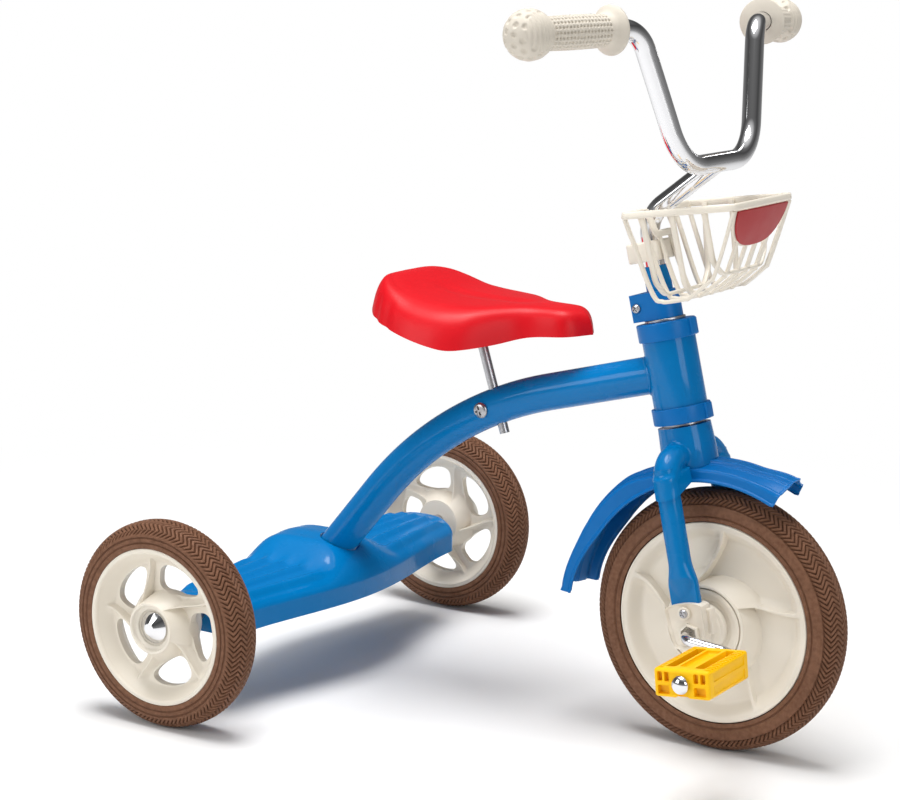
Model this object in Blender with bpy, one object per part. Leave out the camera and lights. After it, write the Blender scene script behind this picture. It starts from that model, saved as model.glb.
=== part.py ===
"""Child's tricycle: steel backbone, pressed rear platform, raked fork with front pedals, three wheels.

Units are metres. +X is forward, +Y is the rider's left, +Z is up, and the ground is Z = 0.
The model is built about the plane Y = 0. Pieces that steer are drawn in the steering frame:
its X points forward square to the steering axis, its Z climbs that axis from the front axle.
"""
import math

import bmesh
import bpy
from mathutils import Matrix, Vector

# Overall layout
WHEELBASE = 0.4242
FRONT_TYRE_RADIUS = 0.1150
REAR_TYRE_RADIUS = 0.0924
RAKE = math.radians(13.68)
FORK_TRAIL_OFFSET = 0.0010
GAP = 0.0003

# Wheels
WHEEL_COLUMNS = 25
SECTORS = 5
TYRE_HALF_WIDTH = 0.0188
TREAD_HALF_WIDTH = 0.0050
FRONT_RIM_RADIUS = 0.0869
REAR_RIM_RADIUS = 0.0698
RIM_HALF_WIDTH = 0.0176
RIM_SEAT_DEPTH = 0.0042
REAR_HUB_RADIUS = 0.0240
REAR_HUB_OUTBOARD = 0.0232
REAR_HUB_INBOARD = 0.0215
REAR_HUB_RECESS = 0.0075
REAR_SPOKE_RIDGE = 0.0042
REAR_WEB_HALF_THICKNESS = 0.0034
REAR_WEB_RADII = (0.0350, 0.0450, 0.0540)
REAR_HUB_FLARE = 0.0035
REAR_SPOKE_START = math.radians(18.0)
REAR_WINDOW_LEAD = math.radians(49.5)
REAR_HUB_TWIST = math.radians(19.0)
RIM_LIP = 0.0037
FRONT_COLLAR_RADIUS = 0.0420
FRONT_COLLAR_TOP_RADIUS = 0.0350
FRONT_COLLAR_HALF_WIDTH = 0.0320
FRONT_HUB_HALF_WIDTH = 0.0155
FRONT_WEB = ((0.0450, 0.0105), (0.0580, 0.0075), (0.0780, 0.0080))
FRONT_RIB_SHARES = (1.00, 1.15, 0.50)
FRONT_RIB_SWIRL = ((0.0380, 20.0), (0.0460, 11.0), (0.0560, 5.0), (0.0680, 1.5), (0.0780, 0.0))
FRONT_RIB_START = math.radians(13.5)
FRONT_RIB_HALF_ANGLE = math.radians(3.0)
HUB_COVER_RECESS = 0.0020
HUB_COVER_CLEARANCE = 0.0030
FRONT_RIB_HEIGHT = 0.0062

# Rear axle
REAR_AXLE_RADIUS = 0.0050
AXLE_CLEARANCE = 0.0004
AXLE_TUBE_RADIUS = 0.0105
REAR_CAP_RADIUS = 0.0142
REAR_CAP_CREST = ((1.00, 0.00), (1.00, 0.22), (0.80, 0.55), (0.42, 0.90), (0.00, 1.00))
REAR_CAP_HEIGHT = 0.0075
SPACER_RADIUS = 0.0085
SPACER_LENGTH = 0.0217

# Rear platform
PLATFORM_HALF_LENGTH = 0.1850
PLATFORM_HALF_WIDTH_MIDDLE = 0.0620
PLATFORM_HALF_WIDTH_END = 0.0385
PLATFORM_SKIRT_BOTTOM = 0.0750
PLATFORM_FOLD_HEIGHT = 0.0915
PLATFORM_TOP_HEIGHT = 0.1085
PLATFORM_HUMP_HEIGHT = 0.1270
PLATFORM_HUMP_REACH = 0.0720
PLATFORM_SHEET = 0.0020
PLATFORM_RIB_COUNT = 4
PLATFORM_RIB_DEPTH = 0.0020
PLATFORM_FOLD_STEP = 0.0015
PLATFORM_FOLD_BAND = 0.0040
PLATFORM_DECK_STEP = 0.0035
PLATFORM_DECK_INSET = 0.0060

# Backbone tube, given by its top line, its foot line and the bend between them
BACKBONE_RADIUS = 0.0165
BACKBONE_TOP_SLOPE = math.radians(15.0)
BACKBONE_FOOT_SLOPE = math.radians(50.4)
BACKBONE_BEND_RADIUS = 0.350
BACKBONE_HEAD_HEIGHT = 0.2165

# Head set, heights along the steering axis above the front axle
HEAD_TUBE_RADIUS = 0.0230
HEAD_TUBE_WALL = 0.0040
HEAD_CUP_RADIUS = 0.0255
HEAD_CUP_DEPTH = 0.0110
HEAD_LOWER_CUP_BOTTOM = 0.1728
HEAD_LOWER_CUP_TOP = 0.1870
HEAD_UPPER_CUP_BOTTOM = 0.2450
HEAD_UPPER_CUP_TOP = 0.2603
CUP_TAB_HEIGHT = 0.0016
WASHER_RADIUS = 0.0195
STEERER_RADIUS = 0.0113
STEERER_BORE = 0.0088
STEERER_TOP = 0.3080
CROWN_TOP = 0.1700
CROWN_TOP_RADIUS = 0.0230
CROWN_FOOT_RADIUS = 0.0243
COLLAR_BOTTOM = 0.2630
COLLAR_TOP = 0.2865
COLLAR_RADIUS = 0.0160
COLLAR_BACK = 0.0220
COLLAR_CORNER = 0.0030
COLLAR_SPLIT = 0.0030
COLLAR_SCREW_RADIUS = 0.0022
COLLAR_SCREW_HEAD = 0.0040
COLLAR_SCREW_HEIGHT = 0.0024
STEERER_FOOT_DEPTH = 0.0200
STEERER_SLIT = 0.0024

# Fork legs and their end blocks
LEG_RADIUS = 0.0098
LEG_SLEEVE_RADIUS = 0.0120
LEG_SLEEVE_END = 0.1130
LEG_SHOULDER_HEIGHT = 0.1465
LEG_SHOULDER_OFFSET = 0.0475
LEG_FOOT_OFFSET = 0.0520
LEG_BEND_RADIUS = 0.0230
LEG_ROOT_DEPTH = 0.0060
LEG_SLEEVE_STEP = 0.0010
LEG_FLATTENING = 0.0290
LEG_FOOT_HALF_WIDTH = 0.0135
LEG_FOOT_HALF_THICKNESS = 0.0032
LEG_FOOT_END = 0.0085
BLOCK_INNER = 0.0450
BLOCK_OUTER = 0.0600
BLOCK_HALF_WIDTH = 0.0175
BLOCK_TOP = 0.0270
BLOCK_BOTTOM = 0.0110
BLOCK_BOSS_RADIUS = 0.0215
BLOCK_SCREW_HEIGHT = 0.0185
BLOCK_SCREW_RADIUS = 0.0022
BLOCK_HEX_RADIUS = 0.0078
BLOCK_HEX_DEPTH = 0.0050
BLOCK_ARCH = 0.0045
BLOCK_CORNER = 0.0030
BLOCK_BOSS_DEPTH = 0.0060
BLOCK_SCREW_LENGTH = 0.0120
BLOCK_SCREW_HEAD = 0.0038
BLOCK_SCREW_HEIGHT_OF_HEAD = 0.0026

# Fender, an arched strip about the front axle
FENDER_RADIUS = 0.1370
FENDER_BAND_RISE = 0.0028
FENDER_EDGE_RADIUS = 0.1245
FENDER_HALF_WIDTH = 0.0245
FENDER_BAND_HALF_WIDTH = 0.0085
FENDER_SHEET = 0.0020
FENDER_NOSE_ANGLE = math.radians(63.5)
FENDER_TAIL_ANGLE = math.radians(177.5)
FENDER_NOSE_FLARE = 0.0035
FENDER_SPREAD = ((112.0, 0.0), (130.0, 0.0052), (155.0, 0.0056), (177.5, 0.0100))
FENDER_SKIRT_SPREAD = ((145.0, 0.0), (177.5, 0.0095))
FENDER_STEPS = 15
FENDER_SCREW_RADIUS = 0.0030
FENDER_SCREW_HEAD = 0.0030

# Stem, handlebar and grips, in the steering frame
BAR_RADIUS = 0.0083
STEM_FOOT = 0.2350
STEM_BEND_HEIGHT = 0.3500
STEM_BEND_RADIUS = 0.0300
BAR_LOW_REACH = 0.0743
BAR_LOW_HALF_WIDTH = 0.0627
BAR_LOW_HEIGHT = 0.3838
BAR_HIGH_REACH = 0.0807
BAR_HIGH_HALF_WIDTH = 0.1062
BAR_HIGH_HEIGHT = 0.4974
GRIP_BALL_REACH = 0.0488
GRIP_BALL_OFFSET = 0.2281
GRIP_BALL_HEIGHT = 0.5022
BAR_BEND_RADIUS = 0.0280
GRIP_BALL_RADIUS = 0.0205
GRIP_HANDLE_RADIUS = 0.0130
GRIP_FLANGE_RADIUS = 0.0200
GRIP_LENGTH = 0.0955
GRIP_FLANGE_THICKNESS = 0.0030
GRIP_BAR_INSET = 0.0050

# Basket, in the steering frame
BASKET_SKIN = 0.0030
# reach, height and spread of each row: down the back, under the floor and up the front
BASKET_ROWS = [(0.0097, 0.3575, 1.13), (0.0107, 0.3515, 1.12), (0.0130, 0.3370, 1.10), (0.0140, 0.3315, 1.09),
               (0.0197, 0.2965, 1.06), (0.0240, 0.2820, 1.04), (0.0285, 0.2795, 1.03), (0.0335, 0.2783, 1.03),
               (0.0500, 0.2782, 1.03), (0.0550, 0.2789, 1.02), (0.0745, 0.2892, 1.00), (0.0790, 0.2928, 0.99),
               (0.0925, 0.3150, 1.00), (0.1075, 0.3420, 1.03), (0.1103, 0.3480, 1.04)]
BASKET_BAR_WIDTH = 0.0050
BASKET_HALF_WIDTH = 0.0540
BASKET_RIM_HEIGHT = 0.0060
BASKET_BARS = (0.0090, 0.0285, 0.0515)
BASKET_NOTCH = 0.0140
BASKET_NOTCH_ROW = 2
BASKET_NOTCH_COLUMNS = (4, 10)
BASKET_RIM_ROWS = (0, 13)
BASKET_BAR_COLUMNS = (0, 2, 6, 8, 12, 14)
BASKET_HOOPS = {6: 0.0235, 8: 0.0500, 10: 0.0810}
BASKET_KNEE_HEIGHT = 0.0120
BASKET_KNEE_SHARE = 0.8
CLIP_BOTTOM = 0.3125
CLIP_TOP = 0.3294
CLIP_HALF_WIDTH = 0.0170
CLIP_BACK = 0.0160
PANEL_HALF_WIDTH = 0.0475
PANEL_THICKNESS = 0.0020

# Saddle and its post
SADDLE_WALL = 0.0040
SADDLE_OUTLINE = [(0.0860, 0.0), (0.0905, 0.0430), (0.1150, 0.0740), (0.1600, 0.0868), (0.2000, 0.0775),
                  (0.2380, 0.0350), (0.2760, 0.0240), (0.2920, 0.0)]
SADDLE_SKIRT = [(0.0800, 0.3630), (0.0900, 0.3620), (0.1050, 0.3550), (0.1400, 0.3450), (0.1750, 0.3370),
                (0.1950, 0.3345), (0.2200, 0.3380), (0.2470, 0.3450), (0.2900, 0.3480)]
SADDLE_TOP = [(0.0800, 0.3880), (0.0920, 0.3890), (0.1050, 0.3910), (0.1250, 0.3820), (0.1500, 0.3740),
              (0.1850, 0.3710), (0.2500, 0.3710), (0.2750, 0.3700), (0.2930, 0.3660)]
SADDLE_SPINE = (0.1250, 0.2620)
SADDLE_DROPS = [(0.55, 0.05), (0.80, 0.20), (0.90, 0.42), (0.97, 0.76), (1.00, 1.00)]
SADDLE_BOSS_RADIUS = 0.0050
SADDLE_SCREW_RADIUS = 0.0018
SADDLE_SCREW_REACH = 0.0060
SADDLE_SCREW_HEAD = 0.0020
BRACKET_TOP = 0.3600
BRACKET_PLATE = 0.0025
BRACKET_SOCKET = 0.0160
BRACKET_SCREW_PITCH = 0.0190
BRACKET_HALF_WIDTH = 0.0130
SEAT_POST_CHAMFER = 0.0010
POST_RADIUS = 0.0045
POST_LEAN = math.radians(18.0)
POST_FOOT = Vector((0.2042, 0.0, 0.2493))
POST_HOLE_CLEARANCE = 0.0004
CLAMP_BOLT_RADIUS = 0.0030
CLAMP_HEAD_RADIUS = 0.0070
CLAMP_HEAD_HEIGHT = 0.0032
CLAMP_NUT_HEIGHT = 0.0050

# Crank and pedals
CRANK_RADIUS = 0.0045
CRANK_THROW = 0.0490
CRANK_ANGLE = math.radians(-5.0)
CRANK_ARM_OFFSET = 0.0730
CRANK_BEND_RADIUS = 0.0080
PEDAL_INNER = 0.0970
PEDAL_OUTER = 0.1680
PEDAL_HALF_LENGTH = 0.0245
PEDAL_HALF_HEIGHT = 0.0118
PEDAL_RAIL = 0.0080
PEDAL_PLATE = 0.0070
PEDAL_BOSS_RADIUS = 0.0085
PEDAL_TILT = math.radians(6.0)
PEDAL_CAP_RADIUS = 0.0078
PEDAL_CORNER = 0.0030
PEDAL_TEETH = 4
PEDAL_TOOTH_DEPTH = 0.0016
CRANK_CLEARANCE = 0.0004
CRANK_END = 0.0045
PEDAL_CAP_SKIRT = 0.0022
PEDAL_CAP_RISE = 0.0056
PEDAL_WASHER_RADIUS = 0.0085
PEDAL_WASHER_THICKNESS = 0.0015

# Derived places
REAR_AXLE_X = -(WHEELBASE + FRONT_TYRE_RADIUS - REAR_TYRE_RADIUS) / 2
FRONT_AXLE_X = REAR_AXLE_X + WHEELBASE
REAR_WHEEL_OFFSET = PLATFORM_HALF_LENGTH + SPACER_LENGTH + REAR_HUB_INBOARD + 2 * GAP
REAR_AXLE = Vector((REAR_AXLE_X, 0.0, REAR_TYRE_RADIUS))
FRONT_AXLE = Vector((FRONT_AXLE_X, 0.0, FRONT_TYRE_RADIUS))
STEER_AXIS = Vector((-math.sin(RAKE), 0.0, math.cos(RAKE)))
STEER_FORWARD = Vector((math.cos(RAKE), 0.0, math.sin(RAKE)))
STEER_BASE = FRONT_AXLE - STEER_FORWARD * FORK_TRAIL_OFFSET
SIDES = {"right": -1.0, "left": 1.0}

PAINT = ("painted_steel", (0.005, 0.165, 0.49), 0.22, 0.0)
BLUE_PLASTIC = ("blue_plastic", (0.006, 0.120, 0.40), 0.38, 0.0)
CREAM = ("cream_plastic", (0.72, 0.66, 0.55), 0.42, 0.0)
RUBBER = ("brown_rubber", (0.19, 0.080, 0.043), 0.70, 0.0)
CHROME = ("chrome", (0.80, 0.80, 0.81), 0.08, 1.0)
ZINC = ("zinc_steel", (0.55, 0.55, 0.56), 0.30, 1.0)
RED = ("red_plastic", (0.76, 0.010, 0.018), 0.45, 0.0)
YELLOW = ("yellow_plastic", (0.95, 0.50, 0.005), 0.40, 0.0)


def clear_scene():
    for obj in list(bpy.data.objects):
        bpy.data.objects.remove(obj, do_unlink=True)


def make_material(name, finish):
    _, colour, roughness, metallic = finish
    material = bpy.data.materials.new(name)
    material.use_nodes = True
    shader = material.node_tree.nodes["Principled BSDF"]
    shader.inputs["Base Color"].default_value = (*colour, 1.0)
    shader.inputs["Roughness"].default_value = roughness
    shader.inputs["Metallic"].default_value = metallic
    return material


def make_empty(name, location, rotation=(0.0, 0.0, 0.0), parent=None):
    """An empty that stands on a joint's axis; its children are drawn about it."""
    empty = bpy.data.objects.new(name, None)
    bpy.context.scene.collection.objects.link(empty)
    empty.location = location
    empty.rotation_euler = rotation
    empty.parent = parent
    return empty


def make_object(name, bm, finish, parent=None, location=(0, 0, 0), rotation=(0, 0, 0), closed=True):
    """Turn a bmesh into an object; an open skin keeps the face directions it was drawn with."""
    if closed:
        bmesh.ops.recalc_face_normals(bm, faces=bm.faces)
    mesh = bpy.data.meshes.new(name)
    bm.to_mesh(mesh)
    bm.free()
    mesh.shade_smooth()
    mesh.set_sharp_from_angle(angle=math.radians(35))
    obj = bpy.data.objects.new(name, mesh)
    bpy.context.scene.collection.objects.link(obj)
    obj.location = location
    obj.rotation_euler = rotation
    obj.parent = parent
    if finish:
        mesh.materials.append(make_material(name, finish))
    return obj


def as_cutter(obj):
    obj.hide_render = True
    obj.display_type = "WIRE"
    return obj


def combine(obj, tool, operation="DIFFERENCE"):
    modifier = obj.modifiers.new(f"{operation.lower()}_{tool.name}", "BOOLEAN")
    modifier.operation = operation
    modifier.object = as_cutter(tool)
    modifier.solver = "EXACT"
    return obj


def thicken(obj, thickness):
    """Give an open skin its wall, grown inwards from the drawn face."""
    solidify = obj.modifiers.new("wall", "SOLIDIFY")
    solidify.thickness = thickness
    solidify.offset = -1.0
    solidify.use_even_offset = True
    return obj


def add_loft(bm, rings, closed=False):
    """Skin a list of rings of equal length; open lofts get a flat face at each end."""
    loops = [[bm.verts.new(point) for point in ring] for ring in rings]
    count = len(loops[0])
    pairs = list(zip(loops, loops[1:]))
    if closed:
        pairs.append((loops[-1], loops[0]))
    for low, high in pairs:
        for i in range(count):
            j = (i + 1) % count
            bm.faces.new((low[i], low[j], high[j], high[i]))
    if not closed:
        bm.faces.new(loops[0])
        bm.faces.new(loops[-1])
    return loops


def polar_point(radius, angle, height):
    return (radius * math.cos(angle), radius * math.sin(angle), height)


def add_lathe(bm, profile, count, turn=0.0, at=(0.0, 0.0)):
    """Revolve a closed outline of (radius, height) about an upright axis; a zero radius makes a pole."""
    loops = []
    for radius, height in profile:
        if radius < 1e-6:
            loops.append([bm.verts.new((*at, height))])
            continue
        ring = []
        for i in range(count):
            x, y, _ = polar_point(radius, turn + math.tau * i / count, height)
            ring.append(bm.verts.new((at[0] + x, at[1] + y, height)))
        loops.append(ring)
    for low, high in zip(loops, loops[1:] + loops[:1]):
        for i in range(count):
            j = (i + 1) % count
            corners = [low[i % len(low)], low[j % len(low)], high[j % len(high)], high[i % len(high)]]
            corners = [v for n, v in enumerate(corners) if v not in corners[:n]]
            if len(corners) > 2:
                bm.faces.new(corners)


def lathe(name, profile, finish, count=24, turn=0.0, **place):
    bm = bmesh.new()
    add_lathe(bm, profile, count, turn)
    return make_object(name, bm, finish, **place)


def disc(radius, low, high, bore=0.0):
    """Closed outline of a disc or, with a bore, of a ring."""
    return [(bore, low), (radius, low), (radius, high), (bore, high)]


def add_box(bm, low, high):
    square = ((low[0], low[1]), (high[0], low[1]), (high[0], high[1]), (low[0], high[1]))
    add_loft(bm, [[(x, y, z) for x, y in square] for z in (low[2], high[2])])


def add_prism(bm, outline, low, high, along="z"):
    """Extrude a flat outline between two heights along one axis."""
    if along == "y":
        add_loft(bm, [[(u, w, v) for u, v in outline] for w in (low, high)])
    else:
        add_loft(bm, [[(u, v, w) for u, v in outline] for w in (low, high)])


def rounded_outline(half_u, half_v, radius, steps=4, centre=(0.0, 0.0)):
    points = []
    for quarter, (su, sv) in enumerate(((1, 1), (-1, 1), (-1, -1), (1, -1))):
        for i in range(steps + 1):
            angle = math.pi / 2 * (quarter + i / steps)
            points.append((centre[0] + su * (half_u - radius) + radius * math.cos(angle),
                           centre[1] + sv * (half_v - radius) + radius * math.sin(angle)))
    return points


def rounded_path(corners, radius, steps=6):
    """A polyline through the corners with each inner corner turned to an arc."""
    path = [Vector(corners[0])]
    for before, corner, after in zip(corners, corners[1:], corners[2:]):
        back = (Vector(before) - Vector(corner)).normalized()
        ahead = (Vector(after) - Vector(corner)).normalized()
        half = back.angle(ahead) / 2
        reach = radius / math.tan(half)
        centre = Vector(corner) + (back + ahead).normalized() * radius / math.sin(half)
        start = Vector(corner) + back * reach - centre
        turn = math.pi - 2 * half
        axis = start.cross(Vector(corner) + ahead * reach - centre).normalized()
        for i in range(steps + 1):
            path.append(centre + Matrix.Rotation(turn * i / steps, 3, axis) @ start)
    path.append(Vector(corners[-1]))
    return path


def path_frames(path, side):
    """A side vector and a tangent at each point, turned without twist along the path."""
    frames = []
    for i, point in enumerate(path):
        before = (point - path[i - 1]).normalized() if i else None
        after = (path[i + 1] - point).normalized() if i + 1 < len(path) else None
        tangent = ((before or after) + (after or before)).normalized()
        side = (side - tangent * side.dot(tangent)).normalized()
        frames.append((point, side, tangent.cross(side), tangent))
    return frames


def tube_rings(path, radii, count=12, side=Vector((0, 1, 0))):
    """Rings of a round or oval tube; a radius may be a pair, along the side vector and across it."""
    rings = []
    for (point, u, v, _), radius in zip(path_frames(path, side), radii):
        along, across = radius if isinstance(radius, tuple) else (radius, radius)
        rings.append([point + u * along * math.cos(a) + v * across * math.sin(a)
                      for a in (math.tau * (i + 0.5) / count for i in range(count))])
    return rings


def tube(name, path, radius, finish, count=12, bore=0.0, side=Vector((0, 1, 0)), **place):
    bm = bmesh.new()
    outer = tube_rings(path, [radius] * len(path), count, side)
    if bore:
        inner = tube_rings(path, [bore] * len(path), count, side)
        add_loft(bm, outer + inner[::-1], closed=True)
    else:
        add_loft(bm, outer)
    return make_object(name, bm, finish, **place)


def blend(value, stations):
    """Smooth value between (position, amount) stations."""
    if value <= stations[0][0]:
        return stations[0][1]
    for (x0, y0), (x1, y1) in zip(stations, stations[1:]):
        if value <= x1:
            t = (value - x0) / (x1 - x0)
            return y0 + (y1 - y0) * t * t * (3 - 2 * t)
    return stations[-1][1]


# Wheels. Columns run round the wheel; the outer rows meet the tyre column for column.

def column_angle(index):
    """Angle of a column; the facet between the first and the last faces the ground."""
    return math.tau * (index + 0.5) / WHEEL_COLUMNS - math.pi / 2


def tyre_profile(radius, seat):
    """Closed outline from the rim seat round the sidewalls and over the tread."""
    bead = seat + GAP
    side = seat + 0.30 * (radius - seat)
    shoulder = seat + 0.80 * (radius - seat)
    half = [(bead, RIM_HALF_WIDTH), (side, TYRE_HALF_WIDTH), (shoulder, TYRE_HALF_WIDTH * 0.84),
            (radius, TREAD_HALF_WIDTH)]
    return [(bead - RIM_SEAT_DEPTH, 0.0)] + half + [(r, -h) for r, h in half[::-1]]


def build_tyre(name, radius, seat, parent):
    flat = 1 / math.cos(math.pi / WHEEL_COLUMNS)
    profile = [(r * flat if r > seat + GAP * 2 else r + GAP, h) for r, h in tyre_profile(radius, seat)]
    return lathe(name, profile, RUBBER, WHEEL_COLUMNS, column_angle(0), parent=parent)


def add_wheel_grid(bm, rows):
    """Close a wheel from rows of columns; each row is a list of points once round."""
    return add_loft(bm, rows, closed=True)


def spoke_angle(row_share, line):
    """Angle of one of a sector's lines: the window's lines first, and the spoke's ridge last."""
    start = -REAR_WINDOW_LEAD + math.radians(42.5) * (1 - row_share ** 0.85)
    end = math.radians(1.0 + 3.5 * row_share + 1.5 * math.sin(math.pi * row_share))
    ridge = WHEEL_COLUMNS // SECTORS - 1
    if line < ridge:
        return start + (end - start) * line / (ridge - 1)
    return (end + start + math.tau / SECTORS) / 2


def rear_rim_rows(bore):
    """Rows of the spoked rear wheel from the hub's outer face round to its inner end."""
    web = REAR_WEB_RADII
    first = REAR_SPOKE_START
    per_sector = WHEEL_COLUMNS // SECTORS
    twist = REAR_HUB_TWIST

    def even(radius, height, turn=0.0):
        start = first - REAR_WINDOW_LEAD + turn
        step = math.tau / WHEEL_COLUMNS
        return [polar_point(radius, start + step * i, height) for i in range(WHEEL_COLUMNS)]

    def swirl(radius, height, ridge):
        share = (radius - web[0]) / (web[-1] - web[0])
        points = []
        for i in range(WHEEL_COLUMNS):
            sector, line = divmod(i, per_sector)
            angle = first + sector * math.tau / SECTORS + spoke_angle(share, line)
            points.append(polar_point(radius, angle, height + (ridge if line == per_sector - 1 else 0.0)))
        return points

    face = REAR_HUB_OUTBOARD
    floor = face - REAR_HUB_RECESS
    half = REAR_WEB_HALF_THICKNESS
    rows = [even(bore, floor, twist), even(REAR_HUB_RADIUS * 0.82, floor, twist),
            even(REAR_HUB_RADIUS * 0.86, face, twist), even(REAR_HUB_RADIUS, face, twist),
            even(REAR_HUB_RADIUS + REAR_HUB_FLARE, half + REAR_HUB_FLARE, twist)]
    front = len(rows)
    rows += [swirl(r, half, REAR_SPOKE_RIDGE) for r in web]
    rows += [even(REAR_RIM_RADIUS - RIM_LIP, RIM_HALF_WIDTH), even(REAR_RIM_RADIUS, RIM_HALF_WIDTH)]
    rows += [even(REAR_RIM_RADIUS - RIM_SEAT_DEPTH, 0.0)]
    rows += [even(REAR_RIM_RADIUS, -RIM_HALF_WIDTH), even(REAR_RIM_RADIUS - RIM_LIP, -RIM_HALF_WIDTH)]
    back = len(rows)
    rows += [swirl(r, -half, 0.0) for r in web[::-1]]
    rows += [even(REAR_HUB_RADIUS, -REAR_HUB_INBOARD, twist), even(bore, -REAR_HUB_INBOARD, twist)]
    return rows, front, back, len(web)


def open_windows(bm, loops, front, back, depth):
    """Open the window between each pair of spokes and wall its sides."""
    per_sector = WHEEL_COLUMNS // SECTORS
    last = per_sector - 2
    doomed = set()
    walls = []
    for sector in range(SECTORS):
        start = sector * per_sector
        inside = set()
        for rows in (range(front, front + depth), range(back, back + depth)):
            block = {loops[r][start + c] for r in rows for c in range(last + 1)}
            inside |= {f for v in block for f in v.link_faces if all(w in block for w in f.verts)}
        doomed |= inside
        edge = [(0, c) for c in range(last)] + [(r, last) for r in range(depth - 1)]
        edge += [(depth - 1, c) for c in range(last, 0, -1)] + [(r, 0) for r in range(depth - 1, 0, -1)]
        for (r0, c0), (r1, c1) in zip(edge, edge[1:] + edge[:1]):
            far = back + depth - 1
            walls.append((loops[front + r0][start + c0], loops[front + r1][start + c1],
                          loops[far - r1][start + c1], loops[far - r0][start + c0]))
    bmesh.ops.delete(bm, geom=list(doomed), context="FACES_ONLY")
    for corners in walls:
        bm.faces.new(corners)


def build_rear_rim(name, parent):
    bm = bmesh.new()
    rows, front, back, depth = rear_rim_rows(REAR_AXLE_RADIUS + AXLE_CLEARANCE)
    loops = add_wheel_grid(bm, rows)
    open_windows(bm, loops, front, back, depth)
    return make_object(name, bm, CREAM, parent=parent)


def rib_swirl(radius):
    """How far a front rib has turned back from its tip at a radius."""
    return math.radians(blend(radius, FRONT_RIB_SWIRL))


def front_rim_rows(bore):
    per_sector = WHEEL_COLUMNS // SECTORS
    first = FRONT_RIB_START
    line_shift = FRONT_RIB_HALF_ANGLE

    def even(radius, height):
        step = math.tau / WHEEL_COLUMNS
        return [polar_point(radius, first + step * (i - 1), height) for i in range(WHEEL_COLUMNS)]

    def ribbed(radius, height, rise):
        side = math.copysign(1.0, height)
        points = []
        for i in range(WHEEL_COLUMNS):
            sector, line = divmod(i, per_sector)
            rib = first + sector * math.tau / SECTORS + rib_swirl(radius)
            free = (math.tau / SECTORS - 2 * line_shift) / (per_sector - 2)
            angle = rib + (line - 1) * line_shift if line < 3 else rib + line_shift + free * (line - 2)
            points.append(polar_point(radius, angle, height + side * (rise if line == 1 else 0.0)))
        return points

    def half_rows(side):
        floor = side * FRONT_HUB_HALF_WIDTH
        rows = [even(bore, floor), even(FRONT_COLLAR_RADIUS, floor)]
        for (radius, height), share in zip(FRONT_WEB, FRONT_RIB_SHARES):
            rows.append(ribbed(radius, side * height, FRONT_RIB_HEIGHT * share))
        edge = side * RIM_HALF_WIDTH
        return rows + [even(FRONT_RIM_RADIUS - RIM_LIP, edge), even(FRONT_RIM_RADIUS, edge)]

    seat = [even(FRONT_RIM_RADIUS - RIM_SEAT_DEPTH, 0.0)]
    return half_rows(1.0) + seat + half_rows(-1.0)[::-1]


def build_front_rim(parent):
    bm = bmesh.new()
    add_wheel_grid(bm, front_rim_rows(CRANK_RADIUS + CRANK_CLEARANCE))
    return make_object("front_rim", bm, CREAM, parent=parent)


def build_front_wheel(steering):
    """Front wheel with its hub covers; local Z points to the rider's right."""
    axle = make_empty("front_wheel_axis", (FORK_TRAIL_OFFSET, 0, 0), (0, RAKE, 0), steering)
    hub = make_empty("front_hub_frame", (0, 0, 0), (math.pi / 2, 0, 0), axle)
    build_tyre("front_tyre", FRONT_TYRE_RADIUS, FRONT_RIM_RADIUS, hub)
    build_front_rim(hub)
    bore, mouth = CRANK_RADIUS + CRANK_CLEARANCE, BLOCK_BOSS_RADIUS + HUB_COVER_CLEARANCE
    low, high = FRONT_HUB_HALF_WIDTH + GAP, FRONT_COLLAR_HALF_WIDTH
    floor = high - HUB_COVER_RECESS
    for side, sign in SIDES.items():
        profile = [(bore, low), (FRONT_COLLAR_RADIUS, low), (FRONT_COLLAR_TOP_RADIUS, high),
                   (mouth + HUB_COVER_RECESS, high), (mouth, floor), (bore, floor)]
        turn = (0, 0, 0) if sign < 0 else (math.pi, 0, 0)
        lathe(f"hub_cover_{side}", profile, CREAM, 20, rotation=turn, parent=hub)
    return axle


def crank_corners(sign):
    """Corner points of one end of the crank rod, from the hub out to the pedal's cap."""
    angle = CRANK_ANGLE if sign < 0 else CRANK_ANGLE + math.pi
    arm = Vector((math.cos(angle), 0.0, math.sin(angle))) * CRANK_THROW
    bend = Vector((0.0, sign * CRANK_ARM_OFFSET, 0.0))
    return [bend, arm + bend, arm + Vector((0.0, sign * (PEDAL_OUTER + CRANK_END), 0.0))]


def build_crank(axle):
    corners = [tuple(p) for p in crank_corners(-1.0)[::-1] + crank_corners(1.0)]
    path = rounded_path(corners, CRANK_BEND_RADIUS, 3)
    return tube("crank", path, CRANK_RADIUS, CHROME, 10, side=Vector((1, 0, 0.3)), parent=axle)


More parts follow.
